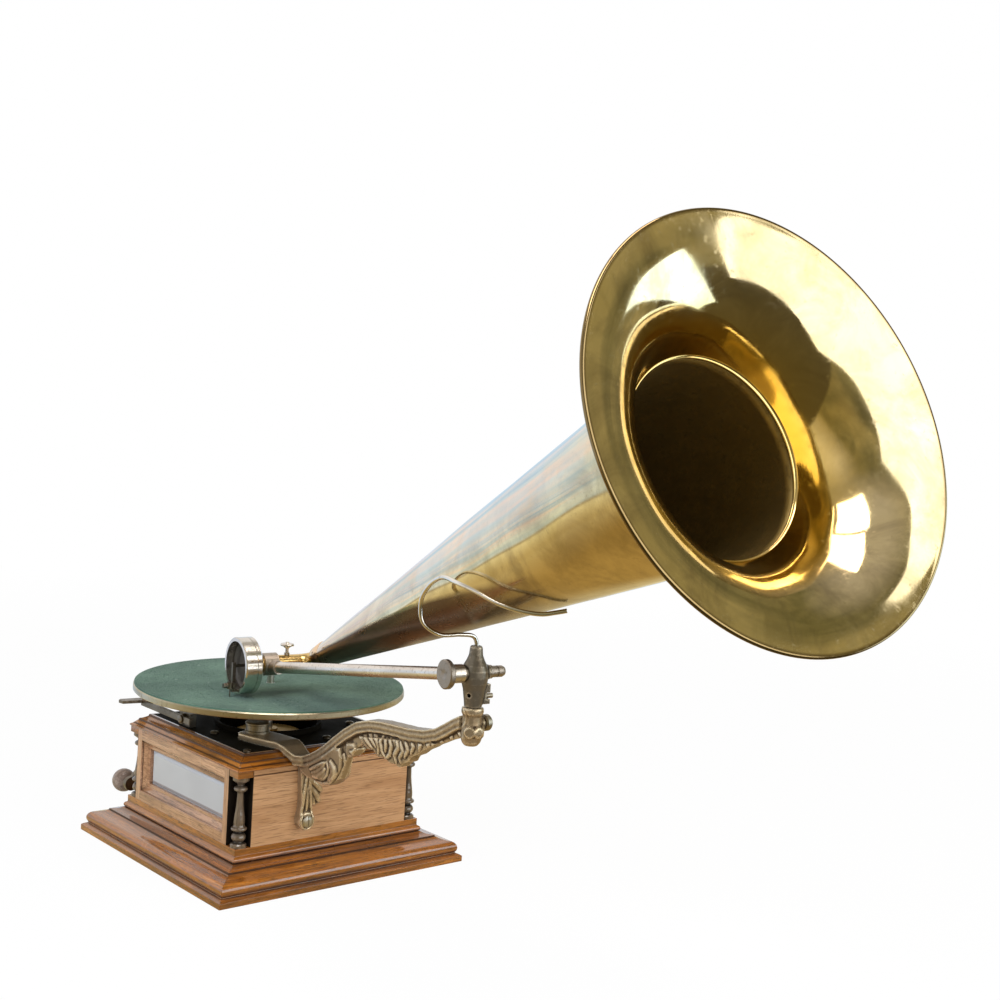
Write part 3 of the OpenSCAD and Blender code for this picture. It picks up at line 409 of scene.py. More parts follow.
def feltFinish(name, deep, worn, speck):
    s = newShade(name)
    at = s.place()
    fibre = s.noise(at, *felt["fibre"])
    tuft = s.noise(at, *felt["tuft"])
    patch = s.noise(at, *felt["patch"])
    scrap = s.noise(at, *felt["scrap"])
    tone = s.blendTone(s.span(patch, 0.38, 0.66), deep, worn)
    tone = s.blendTone(s.span(tuft, 0.48, 0.70, 0, 0.75), tone, deep)
    tone = s.blendTone(s.span(fibre, 0.6, 0.72, 0, 0.3), tone, speck)
    tone = s.blendTone(s.span(scrap, 0.77, 0.80, 0, 0.7), tone, speck)
    s.relief(s.math("ADD", fibre, tuft), felt["napStrength"], felt["napDepth"])
    return s.finish(**{"Base Color": tone, **felt["gloss"]})


# window pane: pale clouded glass, with a painted darker band along its foot for the reflection in its bevel
pane = {
    "cloud": (12.0, 2), "foot": (0.052, 0.060, 0.5, 0.0),
    "gloss": {"Roughness": 0.06, "IOR": 1.5, "Coat Weight": 0.5, "Coat Roughness": 0.03},
}


def paneFinish(name, tone, edge):
    s = newShade(name)
    at = s.place()
    cloud = s.noise(at, *pane["cloud"])
    # darker along the foot: a painted reflection of the bevel
    foot = s.span(s.split(at)[2], *pane["foot"])
    shade = s.blendTone(s.span(cloud, 0.3, 0.8, 0, 0.5), tone, edge)
    shade = s.blendTone(foot, shade, edge)
    return s.finish(**{"Base Color": shade, **pane["gloss"]})


# places of the arm and horn, in millimetres, as in the part's source
armAt = {"post": (-36.0, -335.0), "yaw": 8.0, "elbow": (0.0, 288.0, 189.4), "rise": 23.2, "turn": 0.7}
armFrame = Matrix.Translation((*armAt["post"], 0)) @ Matrix.Rotation(math.radians(-armAt["yaw"]), 4, "Z")
elbowFrame = armFrame @ Matrix.Translation(armAt["elbow"])
hornFrame = elbowFrame @ Matrix.Rotation(math.radians(armAt["turn"]), 4, "Z")
hornFrame = hornFrame @ Matrix.Rotation(math.radians(90 - armAt["rise"]), 4, "X")
hornLine = {
    "start": hornFrame.to_translation() * mm,
    "way": (hornFrame.to_3x3() @ Vector((0, 0, 1))).normalized(),
}

# every finish by its key: pale, middle, dark and pore tones for wood, bright, dull and spot tones for metal
finish = {
    "oakDark": woodFinish("varnishedOakDark", ((0.45, 0.158, 0.017), (0.315, 0.098, 0.010),
                          (0.105, 0.032, 0.005), (0.035, 0.013, 0.005)), "course", 0.24, 0.95, 0.65,
                          lines=(0.0889, 0.0958, 0.0993, 0.1139)),
    "oakFrame": woodFinish("varnishedOakFrame", ((0.58, 0.31, 0.165), (0.45, 0.225, 0.11),
                           (0.17, 0.07, 0.032), (0.05, 0.021, 0.010)), "frame", 0.26, 0.95, 0.6, shut="y"),
    "oakPanel": woodFinish("paleOakPanel", ((0.57, 0.328, 0.160), (0.49, 0.27, 0.126),
                           (0.36, 0.18, 0.075), (0.13, 0.06, 0.026)), "x", 0.36, 0.2, 0.6, (60, 1250),
                           shut="x"),
    "columnWood": woodFinish("turnedColumnWood", ((0.20, 0.138, 0.088), (0.12, 0.08, 0.05),
                             (0.05, 0.036, 0.024), (0.014, 0.01, 0.007)), "z", 0.26, 0.8, 0.4),
    # near black posts in the column recesses: partly black paint, partly painted shade of the recesses
    "postWood": woodFinish("darkPostWood", ((0.022, 0.013, 0.009), (0.013, 0.008, 0.006),
                           (0.009, 0.006, 0.005), (0.005, 0.004, 0.004)), "z", 0.5, 0.0, 0.4),
    "knobWood": woodFinish("turnedKnobWood", ((0.34, 0.26, 0.20), (0.24, 0.17, 0.13),
                           (0.13, 0.085, 0.06), (0.05, 0.03, 0.02)), "x", 0.4, 0.2, 0.5),
    "pane": paneFinish("bevelledPane", (0.41, 0.40, 0.395), (0.29, 0.285, 0.28)),
    "blackIron": enamelFinish("blackEnamel", (0.006, 0.005, 0.003), (0.012, 0.010, 0.006), 0.6, 0.05),
    "steel": metalFinish("brightSteel", ((0.60, 0.58, 0.53), (0.44, 0.42, 0.37), (0.16, 0.13, 0.10)), 0.3),
    "darkSteel": metalFinish("agedSteel", ((0.24, 0.21, 0.17), (0.16, 0.14, 0.11), (0.07, 0.055, 0.04)),
                             0.34),
    "dullNickel": metalFinish("dullNickel", ((0.46, 0.41, 0.36), (0.36, 0.315, 0.27), (0.14, 0.11, 0.085)),
                              0.42, (330.0, 0.55)),
    "blueSteel": metalFinish("bluedSpring", ((0.20, 0.22, 0.27), (0.12, 0.13, 0.17), (0.06, 0.05, 0.05)),
                             0.3),
    "nickel": metalFinish("agedNickel", ((0.84, 0.785, 0.725), (0.74, 0.68, 0.62), (0.30, 0.23, 0.17)), 0.27,
                          (330.0, 0.5)),
    "wire": metalFinish("polishedWire", ((0.86, 0.84, 0.80), (0.74, 0.71, 0.66), (0.30, 0.25, 0.20)),
                        0.11, (240.0, 0.3)),
    "boxNickel": metalFinish("polishedBoxNickel", ((0.76, 0.74, 0.70), (0.66, 0.63, 0.58),
                             (0.30, 0.25, 0.20)), 0.13, (240.0, 0.3)),
    "rimNickel": metalFinish("agedPlatterRim", ((0.52, 0.48, 0.36), (0.40, 0.36, 0.26),
                             (0.20, 0.16, 0.09)), 0.34, (240.0, 0.5)),
    "gearBrass": metalFinish("cutBrass", ((0.66, 0.47, 0.20), (0.50, 0.34, 0.13), (0.22, 0.13, 0.05)), 0.3),
    "tubeBrass": metalFinish("tubeBrass", ((0.78, 0.56, 0.24), (0.66, 0.45, 0.18), (0.30, 0.18, 0.06)), 0.18),
    "hornBrass": hornFinish("polishedHornBrass", (0.84, 0.705, 0.44), (0.77, 0.63, 0.335),
                            (0.41, 0.325, 0.145), hornLine),
    "cast": castFinish("antiqueCasting", (0.66, 0.53, 0.355), (0.36, 0.265, 0.158), (0.07, 0.045, 0.026),
                       (0.22, 0.155, 0.09), 0.75),
    "yokeCast": castFinish("dullYokeCasting", (0.36, 0.30, 0.22), (0.165, 0.135, 0.095), (0.04, 0.031, 0.021),
                           (0.10, 0.08, 0.055), 0.65),
    "plainCast": metalFinish("plainCasting", ((0.40, 0.36, 0.29), (0.29, 0.26, 0.20), (0.10, 0.08, 0.06)),
                             0.38, (300.0, 0.5)),
    "throat": metalFinish("dullThroatBrass", ((0.36, 0.27, 0.11), (0.28, 0.20, 0.075), (0.12, 0.08, 0.03)),
                          0.5, (120.0, 0.5)),
    "felt": feltFinish("wornFelt", (0.057, 0.106, 0.073), (0.107, 0.184, 0.127), (0.26, 0.32, 0.27)),
    "leather": enamelFinish("padLeather", (0.10, 0.06, 0.035), (0.16, 0.10, 0.06), 0.6),
    "gasket": enamelFinish("darkGasket", (0.05, 0.042, 0.034), (0.12, 0.10, 0.08), 0.3),
}

# the nodes that wear each finish
wears = {
    "oakDark": "base_moulding top_moulding corner_caps",
    "oakFrame": "left_frame right_frame",
    "oakPanel": "front_panel back_panel bottom_board",
    "columnWood": "corner_columns",
    "postWood": "corner_posts",
    "pane": "left_glass right_glass",
    "blackIron": "bedplate motor_pillars motor_plate crank_hanger",
    "steel": "spindle train_arbor barrel_arbor gov_arbor crank_shaft bracket_screw",
    "darkSteel": "needle_bar bed_screws crank_arm brake_post brake_lever",
    "blueSteel": "mainspring gov_springs",
    "leather": "brake_pad",
    "rimNickel": "platter",
    "felt": "felt_mat",
    "gearBrass": "spindle_pinion top_wheel train_wheel barrel_drum barrel_gear crown_wheel gov_pinion"
                 " gov_disc gov_weights wind_pinion crank_bush",
    "knobWood": "crank_knob",
    "cast": "arm_bracket",
    "plainCast": "bracket_nut socket_screw yoke_latch",
    "yokeCast": "yoke",
    "nickel": "crutch_wire arm_tube tube_screw",
    "dullNickel": "arm_collar pivot_pin pivot_nut",
    "boxNickel": "sound_box",
    "gasket": "box_inner",
    "tubeBrass": "sound_tube",
    "hornBrass": "horn_cone horn_bell",
}
for key, names in wears.items():
    for name in names.split():
        nodes[name].data.materials.clear()
        nodes[name].data.materials.append(finish[key])
print("stage: finishes on", sum(len(v.split()) for v in wears.values()), "nodes")


# bevelled edges on the cabinet and machine nodes, so that arrises catch the light; widths in millimetres
softened = {
    "base_moulding": 0.8, "top_moulding": 0.6, "left_frame": 0.7, "right_frame": 0.7, "front_panel": 0.5,
    "back_panel": 0.5, "corner_caps": 0.5, "bedplate": 0.5, "brake_post": 0.4, "brake_lever": 0.4,
    "motor_plate": 0.4, "crank_arm": 0.4,
}
arris = {"weld": 0.00002, "segments": 2, "angle": 38, "weight": 60}
for name, width in softened.items():
    weld = nodes[name].modifiers.new("weld", "WELD")
    weld.merge_threshold = arris["weld"]
    bevel = nodes[name].modifiers.new("bevel", "BEVEL")
    bevel.width = width * mm
    bevel.segments = arris["segments"]
    bevel.limit_method = "ANGLE"
    bevel.angle_limit = math.radians(arris["angle"])
    even = nodes[name].modifiers.new("even", "WEIGHTED_NORMAL")
    even.weight = arris["weight"]
print("stage: edges softened on", len(softened), "nodes")


# a new piece: its mesh, its finish, the body it rides on and the nodes it stands for
def addPiece(name, mesh, key, body, stands=()):
    mesh.materials.clear()
    mesh.materials.append(finish[key])
    for face in mesh.polygons:
        face.use_smooth = True
    piece = bpy.data.objects.new(name, mesh)
    scene.collection.objects.link(piece)
    if body:
        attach(piece, body)
    if stands:
        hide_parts(*stands)
    return piece


def outward(mesh):
    bm = bmesh.new()
    bm.from_mesh(mesh)
    bmesh.ops.recalc_face_normals(bm, faces=bm.faces)
    bm.to_mesh(mesh)
    bm.free()


# horn: a closed section turned about the axis, with the slight waves of hand-spun sheet
horn = {
    "tip": 20.0, "seam": 589.5, "rimAt": 651.5, "rimRadius": 141.5, "r0": 7.2, "slope": 0.1036, "sheet": 0.7,
    "bead": 0.85, "beadParts": 8, "beadLean": 0.1, "steps": 192, "wave": 0.42,
    "coneParts": 70, "cuff": 14, "cuffWall": 2, "cuffEase": 1.8, "cuffDrop": 1, "cuffRound": 0.2,
    "bellParts": 56, "bellStart": 0.02, "backStop": 2, "backShift": 0.8,
    "turnParts": 560, "turnFrom": 8, "turnSweep": 76, "kick": 14.0, "kickOver": 0.3,
    "rollParts": 14, "rollSweep": 240, "rollRadius": 1.7, "rollOut": 0.6, "rollBack": 1.4,
    "lip": ((2.4, 3), (3, 0.8), (2.6, 0)),
}
# each wave's size, count round the horn, turn along the axis and across the radius, and offset
hornWaves = ((1.0, 3, 1 / 46, 0, 0.7), (0.7, 5, -1 / 31, 1 / 21, 0), (0.45, 9, 1 / 19, 0, 2.1),
             (0.35, 14, 0, -1 / 17, 0))
waveTotal = sum(size for size, *rest in hornWaves)
# where the waves fade out: past the tip, at the seam and at the rim
waveFade = {"tipFrom": 60, "tipOver": 60, "seamOver": 24, "rimPast": 3, "rimOver": 14}


def hornRadius(at):
    return horn["r0"] + horn["slope"] * at


def bellTurns():
    rise, run = [0.0], [0.0]
    for i in range(horn["turnParts"]):
        share = (i + 0.5) / horn["turnParts"]
        kick = horn["kick"] * max(0.0, 1 - share / horn["kickOver"]) ** 2
        turn = math.radians(horn["turnFrom"] + horn["turnSweep"] * share + kick)
        rise.append(rise[-1] + math.sin(turn))
        run.append(run[-1] + math.cos(turn))
    return rise, run


bellRise, bellRun = bellTurns()


def bellCurve(share):
    at = round(horn["turnParts"] * share)
    r = hornRadius(horn["seam"])
    return (r + (horn["rimRadius"] - r) * bellRise[at] / bellRise[-1],
            horn["seam"] + (horn["rimAt"] - horn["seam"]) * bellRun[at] / bellRun[-1])


def coneSection():
    tip, seam, sheet, parts = horn["tip"], horn["seam"], horn["sheet"], horn["coneParts"]
    top = tip + horn["cuff"]
    stations = [tip + (seam - tip) * i / parts for i in range(parts + 1)]
    inner = [(hornRadius(s), s) for s in stations]
    outer = [(hornRadius(s) + sheet, s) for s in reversed(stations) if s > top]
    mouth = hornRadius(tip) + horn["cuffWall"]
    cuff = [(hornRadius(top) + sheet, top), (hornRadius(top) + horn["cuffEase"], top - horn["cuffDrop"]),
            (mouth, tip + horn["cuffRound"]), (mouth, tip)]
    return inner + outer + cuff


def bellSection():
    seam, sheet, bead = horn["seam"], horn["sheet"], horn["bead"]
    parts, beadParts, rollParts = horn["bellParts"], horn["beadParts"], horn["rollParts"]
    r = hornRadius(seam)
    ridge = [(r, seam)]
    for i in range(1, beadParts):
        a = math.pi * i / beadParts
        lean = horn["beadLean"] * i / beadParts
        ridge.append((r - bead * math.sin(a) + lean, seam + bead - bead * math.cos(a)))
    start = horn["bellStart"]
    inner = [bellCurve(start + (1 - start) * i / parts) for i in range(parts + 1)]
    roll = []
    for i in range(1, rollParts):
        a = math.radians(90 - horn["rollSweep"] * i / rollParts)
        roll.append((horn["rimRadius"] + horn["rollOut"] + horn["rollRadius"] * math.cos(a),
                     horn["rimAt"] - horn["rollBack"] + horn["rollRadius"] * math.sin(a)))
    shift = horn["backShift"] * sheet
    outer = []
    for i in range(parts - 1, horn["backStop"], -1):
        a, b = bellCurve(i / parts)
        outer.append((a + shift, b - shift))
    lip = [(r + out, seam + ahead) for out, ahead in horn["lip"]]
    return ridge + inner + roll + outer + lip


def hornWave(turn, at, radius):
    f = waveFade
    near = min(1.0, max(0.0, (at - f["tipFrom"]) / f["tipOver"]))
    near *= min(1.0, abs(at - horn["seam"]) / f["seamOver"])
    near *= min(1.0, max(0.0, (horn["rimRadius"] + f["rimPast"] - radius) / f["rimOver"]))
    total = 0.0
    for size, count, along, across, offset in hornWaves:
        total += size * math.sin(count * turn + along * at + across * radius + offset)
    return horn["wave"] * near * total / waveTotal


def spinHorn(name, section, stands):
    steps = horn["steps"]
    count = len(section)
    points = []
    for k in range(steps):
        turn = 2 * math.pi * k / steps
        for i, (r, s) in enumerate(section):
            before = section[i - 1]
            after = section[(i + 1) % count]
            dr, ds = after[0] - before[0], after[1] - before[1]
            size = math.hypot(dr, ds) or 1.0
            push = hornWave(turn, s, r)
            r2, s2 = r + push * abs(ds) / size, s - push * abs(dr) / size
            points.append(hornFrame @ Vector((r2 * math.cos(turn), r2 * math.sin(turn), s2)) * mm)
    faces = []
    for k in range(steps):
        a, b = k * count, (k + 1) % steps * count
        for i in range(count):
            j = (i + 1) % count
            faces.append((a + i, b + i, b + j, a + j))
    mesh = bpy.data.meshes.new(name)
    mesh.from_pydata(points, [], faces)
    outward(mesh)
    piece = addPiece(name, mesh, "hornBrass", "arm", stands)
    mesh.materials.append(finish["throat"])
    return piece


# the cone's inner faces have the dull throat finish
def markThroat(piece):
    for face in piece.data.polygons:
        offAxis = face.center - hornLine["start"]
        out = offAxis - hornLine["way"] * offAxis.dot(hornLine["way"])
        if face.normal.dot(out) < 0:
            face.material_index = 1


markThroat(spinHorn("hornConeSkin", coneSection(), ("horn_cone",)))
spinHorn("hornBellSkin", bellSection(), ("horn_bell",))
print("stage: horn spun")


# crutch wire: one smooth bent rod from the yoke's top to under the horn
wire = {
    "route": ((0, 0, 250), (0, 0, 258), (-4, 0, 264), (-16, 0, 265.6), (-33, 2, 266), (-45, 8, 275),
              (-48, 7, 292), (-48, -5, 306), (-48, -23, 314), (-48, -42, 313), (-43.4, -60, 309.4),
              (-35, -78, 303), (-24, -92, 299), (-13, -103, 298), (-4, -109, 299.8), (3, -113, 301.6)),
    "radius": 1.7, "sides": 16, "parts": 10, "foot": (0, 0, 262), "head": (0, -108, 300),
}


def bendWire():
    route = [Vector(p) for p in wire["route"]]
    line = []
    last = len(route) - 1
    for i in range(last):
        a, b, c, d = route[max(i - 1, 0)], route[i], route[i + 1], route[min(i + 2, last)]
        for j in range(wire["parts"]):
            t = j / wire["parts"]
            line.append(0.5 * (2 * b + (c - a) * t + (2 * a - 5 * b + 4 * c - d) * t * t
                               + (3 * b - a - 3 * c + d) * t * t * t))
    line.append(route[-1])
    points = []
    faces = []
    sides = wire["sides"]
    across = Vector((0, 1, 0))
    for i, at in enumerate(line):
        way = (line[min(i + 1, len(line) - 1)] - line[max(i - 1, 0)]).normalized()
        across = (across - way * across.dot(way)).normalized()
        other = way.cross(across)
        for k in range(sides):
            a = 2 * math.pi * k / sides
            p = at + wire["radius"] * (math.cos(a) * across + math.sin(a) * other)
            points.append(armFrame @ p * mm)
            if i:
                m, n = (i - 1) * sides + k, (i - 1) * sides + (k + 1) % sides
                faces.append((m, n, n + sides, m + sides))
    faces.append(tuple(range(sides)))
    faces.append(tuple(range(len(points) - sides, len(points))))
    mesh = bpy.data.meshes.new("bentCrutchWire")
    mesh.from_pydata(points, [], faces)
    outward(mesh)
    piece = addPiece("bentCrutchWire", mesh, "wire", None)
    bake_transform(piece)
    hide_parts("crutch_wire")


bendWire()
print("stage: wire bent")


# a mesh's numbers as rows
def readRows(items, label, width, kind=float):
    rows = np.empty(len(items) * width, dtype=kind)
    items.foreach_get(label, rows)
    return rows.reshape(-1, width)


# height of each point over its neighbours, summed after these rounds of averaging
wearRounds = (2, 4)


def bulgeOf(mesh, spots):
    count = len(spots)
    normals = readRows(mesh.vertices, "normal", 3)
    edges = readRows(mesh.edges, "vertices", 2, np.int64)
    bulge = np.zeros(count)
    soft = spots.copy()
    for turn in range(max(wearRounds)):
        total = np.zeros((count, 3))
        share = np.zeros(count)
        for a, b in ((0, 1), (1, 0)):
            np.add.at(total, edges[:, a], soft[edges[:, b]])
            np.add.at(share, edges[:, a], 1)
        soft = total / np.maximum(share, 1)[:, None]
        if turn + 1 in wearRounds:
            bulge += np.einsum("ij,ij->i", normals, spots - soft)
    return bulge


# castings: a fine skin grown over the node, carved with leaf lobes, then marked where it is high or low
def castingFrom(spec):
    base = bpy.data.objects.new(spec["name"] + "Base", nodes[spec["node"]].data.copy())
    scene.collection.objects.link(base)
    grow = base.modifiers.new("grow", "REMESH")
    grow.mode = "VOXEL"
    grow.voxel_size = spec["voxel"] * mm
    ease = base.modifiers.new("ease", "SMOOTH")
    ease.factor = 0.5
    ease.iterations = spec["ease"]
    view = bpy.context.evaluated_depsgraph_get()
    mesh = bpy.data.meshes.new_from_object(base.evaluated_get(view))
    bpy.data.objects.remove(base)
    spots = readRows(mesh.vertices, "co", 3)
    if spec["carve"]:
        spots = spec["carve"](mesh, spots)
        mesh.vertices.foreach_set("co", spots.ravel())
        mesh.update()
    wear = np.clip(0.5 + bulgeOf(mesh, spots) / (spec["wearSize"] * mm), 0, 1)
    mark = mesh.attributes.new("wear", "FLOAT", "POINT")
    mark.data.foreach_set("value", wear.astype(np.float32))
    return addPiece(spec["name"], mesh, spec["key"], spec["body"], (spec["node"],))


def easeStep(v, low, high):
    t = np.clip((v - low) / (high - low), 0, 1)
    return t * t * (3 - 2 * t)


# share along a straight piece of line, and distance from it
def nearLine(p, a, b):
    way = b - a
    t = np.clip((p - a) @ way / (way @ way), 0, 1)
    return t, np.linalg.norm(p - a - t[:, None] * way, axis=1)


def linePairs(line):
    points = [np.array(point, float) for point in line]
    return list(zip(points, points[1:]))


# the bracket's leaf lobes, as a width and points: distance out from the case, or across its front, and
# height over its top; the crest is the line that its ribbons follow
bracketLines = {
    "sideLobes": (
        (1.7, (49.6, 2.1), (52.1, -2.7), (51.6, -8.7), (46.9, -13.4), (41, -17.5)),
        (5.0, (56, 3), (61, -2), (61.5, -8), (55, -13)),
        (2.6, (27.9, -12.6), (35.1, -10.3), (41, -6.5), (45.8, -1.8)),
        (2.3, (24.5, -10.3), (32.7, -6.6), (40.7, -2.4), (47.6, 1)),
        (3.2, (29.2, -15.3), (37.5, -13.3), (44.4, -8.7), (47.2, -5)),
        (2.4, (37.7, -15.6), (44.8, -12.7), (48.5, -8.3)),
        (2.8, (70.3, 12.8), (73.6, 3.8), (69.6, -5.4), (59.4, -15.2), (46.4, -19), (33.9, -19.6)),
        (2.2, (95.5, 40), (105.5, 33), (113, 29)),
        (2.2, (103, 41), (113, 35), (120.5, 30)),
        (2.5, (111, 42), (119, 37), (122.5, 32), (122, 26)),
        (2.2, (125.5, 43), (124.5, 36), (128, 29), (133, 24.5)),
        (2.4, (136, 43), (140, 36), (138.5, 29), (133.5, 24.5)),
        (2.2, (131, 41), (132.5, 35), (132, 30)),
        (2.6, (146, 44), (149.5, 37), (145, 30), (148, 23.5)),
        (2.3, (152, 42), (156, 35), (152, 29.5), (153.5, 25.5)),
        (2.4, (158.5, 44), (162.5, 38), (158.5, 31)),
        (2.2, (166.3, 46.3), (169.5, 42), (166.4, 36)),
        (2.4, (174.9, 48.7), (178.5, 45.5), (176.5, 41)),
        (2.6, (81.6, 18.2), (85.6, 18), (92, 22.9), (98.6, 25.5)),
        (2.6, (183.4, 52), (188, 49), (188.8, 45.5)),
        (2.4, (195.8, 57.4), (201, 55), (203, 51.4)),
        (2.2, (209.7, 62.5), (213.7, 60.1), (214.8, 56.4)),
        (2.0, (220, 67.8), (224, 64.6), (227, 61.5)),
    ),
    "crest": ((-15, 7.2), (-7, 4.5), (-1, 0.5), (4, -2), (11, -1), (21, 3), (31, 8.3), (41.6, 15), (56, 25.8),
              (70.3, 35.8), (87.3, 45.6), (105.8, 51), (123, 53.4), (140.8, 54.6), (161, 55.8), (181, 58.6),
              (195, 63), (206, 69), (217, 75.5), (226, 80)),
    "faceLobes": (
        (2.2, (1.8, -20), (0.2, -34), (-1.8, -46), (-3.6, -56), (-4.2, -63), (-1.2, -69.6), (3, -71)),
        (2.2, (4.2, -20), (5.8, -34), (7.8, -46), (9.6, -56), (10.2, -63), (7.2, -69.6), (3, -71)),
        (1.7, (3, -32), (3, -44), (3, -53)),
        (2.8, (6, -20), (13, -23.5), (19, -28)),
        (2.9, (6, -25), (13.5, -31.5), (19.6, -37.5)),
        (2.9, (6, -31), (12.5, -39.5), (17.4, -47)),
        (2.5, (6, -37), (9.5, -44), (11.6, -50)),
    ),
    "height": 0.44, "endWidth": 0.45, "field": 0.35, "fieldEase": 0.5,
    "post": -36.0, "front": 101.0, "top": 120.0,
    "sideTurn": (0.3, 0.75), "bandEdge": (12.5, 10.5), "bandFrom": (-12, -2),
    "lobesFrom": (14, 24), "lobesTo": (234, 226),
    "ribbonDepth": 0.34, "ribbonStart": 2.4, "ribbonPitch": 4.6,
    "faceTurn": (0.4, 0.8), "faceBelow": (-12, -18), "faceWithin": (26, 20),
}


# rounded lobes that taper to both ends and meet in creases
def lobesOver(p, lobes, spec):
    rise = np.zeros(len(p))
    for width, *line in lobes:
        pairs = linePairs(line)
        lengths = [np.linalg.norm(b - a) for a, b in pairs]
        gone = 0.0
        for (a, b), length in zip(pairs, lengths):
            t, far = nearLine(p, a, b)
            share = (gone + t * length) / sum(lengths)
            swell = np.sqrt(np.sin(math.pi * np.clip(share, 0.01, 0.99)))
            reach = width * (spec["endWidth"] + (1 - spec["endWidth"]) * swell)
            dome = np.sqrt(np.clip(1 - (far / reach) ** 2, 0, 1))
            rise = np.maximum(rise, spec["height"] * reach * dome)
            gone += length
    return rise - spec["field"] * (1 - np.clip(rise / spec["fieldEase"], 0, 1))


# lobes on the sides, ribbons along the crest and lobes on the leaf that hangs over the front panel
def carveBracket(mesh, spots):
    spec = bracketLines
    normals = readRows(mesh.vertices, "normal", 3)
    x = spots[:, 0] / mm - spec["post"]
    out = -spots[:, 1] / mm - spec["front"]
    high = spots[:, 2] / mm - spec["top"]
    flat = np.stack([out, high], axis=1)
    side = easeStep(np.abs(normals[:, 0]), *spec["sideTurn"])
    far = np.min([nearLine(flat, a, b)[1] for a, b in linePairs(spec["crest"])], axis=0)
    band = easeStep(far, *spec["bandEdge"]) * easeStep(out, *spec["bandFrom"])
    inside = easeStep(out, *spec["lobesFrom"]) * easeStep(out, *spec["lobesTo"])
    lobes = lobesOver(flat, spec["sideLobes"], spec) * inside
    turns = (far - spec["ribbonStart"]) / spec["ribbonPitch"]
    ribbon = -spec["ribbonDepth"] * (0.5 + 0.5 * np.cos(2 * math.pi * turns))
    push = np.zeros_like(spots)
    push[:, 0] = np.sign(normals[:, 0]) * side * (lobes * (1 - band) + ribbon * band) * mm
    front = easeStep(-normals[:, 1], *spec["faceTurn"]) * easeStep(high, *spec["faceBelow"])
    front *= easeStep(out, *spec["faceWithin"])
    face = np.stack([x, high], axis=1)
    push[:, 1] = -front * lobesOver(face, spec["faceLobes"], spec) * mm
    return spots + push


castings = (
    {"name": "bracketCasting", "node": "arm_bracket", "voxel": 0.85, "ease": 9, "carve": carveBracket,
     "key": "cast", "body": "case", "wearSize": 1.1},
    {"name": "yokeCasting", "node": "yoke", "voxel": 0.45, "ease": 4, "carve": None,
     "key": "yokeCast", "body": "swivel", "wearSize": 0.35},
)
for spec in castings:
    made = castingFrom(spec)
    print("stage: casting", spec["name"], len(made.data.polygons), "faces")


# felt pile: short fibres laid over the mat by geometry nodes
pile = {"density": 90000.0, "length": 1.3, "width": 0.16, "seed": 11, "lean": 1.34, "ring": 96, "inset": 1.0,
        "hole": 7.5, "sides": 3}


def pileTree():
    tree = bpy.data.node_groups.new("feltPileTree", "GeometryNodeTree")
    face = tree.interface
    face.new_socket("Geometry", in_out="INPUT", socket_type="NodeSocketGeometry")
    for label in ("Density", "Length", "Width", "Lean"):
        face.new_socket(label, in_out="INPUT", socket_type="NodeSocketFloat")
    face.new_socket("Seed", in_out="INPUT", socket_type="NodeSocketInt")
    face.new_socket("Geometry", in_out="OUTPUT", socket_type="NodeSocketGeometry")
    make = tree.nodes.new
    tie = tree.links.new
    given = make("NodeGroupInput")
    spread = make("GeometryNodeDistributePointsOnFaces")
    tie(given.outputs["Geometry"], spread.inputs["Mesh"])
    tie(given.outputs["Density"], spread.inputs["Density"])
    tie(given.outputs["Seed"], spread.inputs["Seed"])
    blade = make("GeometryNodeMeshCone")
    blade.inputs["Vertices"].default_value = pile["sides"]
    tie(given.outputs["Width"], blade.inputs["Radius Bottom"])
    tie(given.outputs["Length"], blade.inputs["Depth"])
    turn = make("FunctionNodeRandomValue")
    turn.data_type = "FLOAT_VECTOR"
    turn.inputs["Max"].default_value = (0, 0, 2 * math.pi)
    tie(given.outputs["Seed"], turn.inputs["Seed"])
    lean = make("ShaderNodeCombineXYZ")
    tie(given.outputs["Lean"], lean.inputs[0])
    join = make("ShaderNodeVectorMath")
    join.operation = "ADD"
    tie(turn.outputs["Value"], join.inputs[0])
    tie(lean.outputs[0], join.inputs[1])
    plant = make("GeometryNodeInstanceOnPoints")
    tie(spread.outputs["Points"], plant.inputs["Points"])
    tie(blade.outputs["Mesh"], plant.inputs["Instance"])
    tie(join.outputs[0], plant.inputs["Rotation"])
    real = make("GeometryNodeRealizeInstances")
    tie(plant.outputs[0], real.inputs[0])
    paint = make("GeometryNodeSetMaterial")
    paint.inputs["Material"].default_value = finish["felt"]
    tie(real.outputs[0], paint.inputs["Geometry"])
    final = make("NodeGroupOutput")
    tie(paint.outputs[0], final.inputs[0])
    return tree


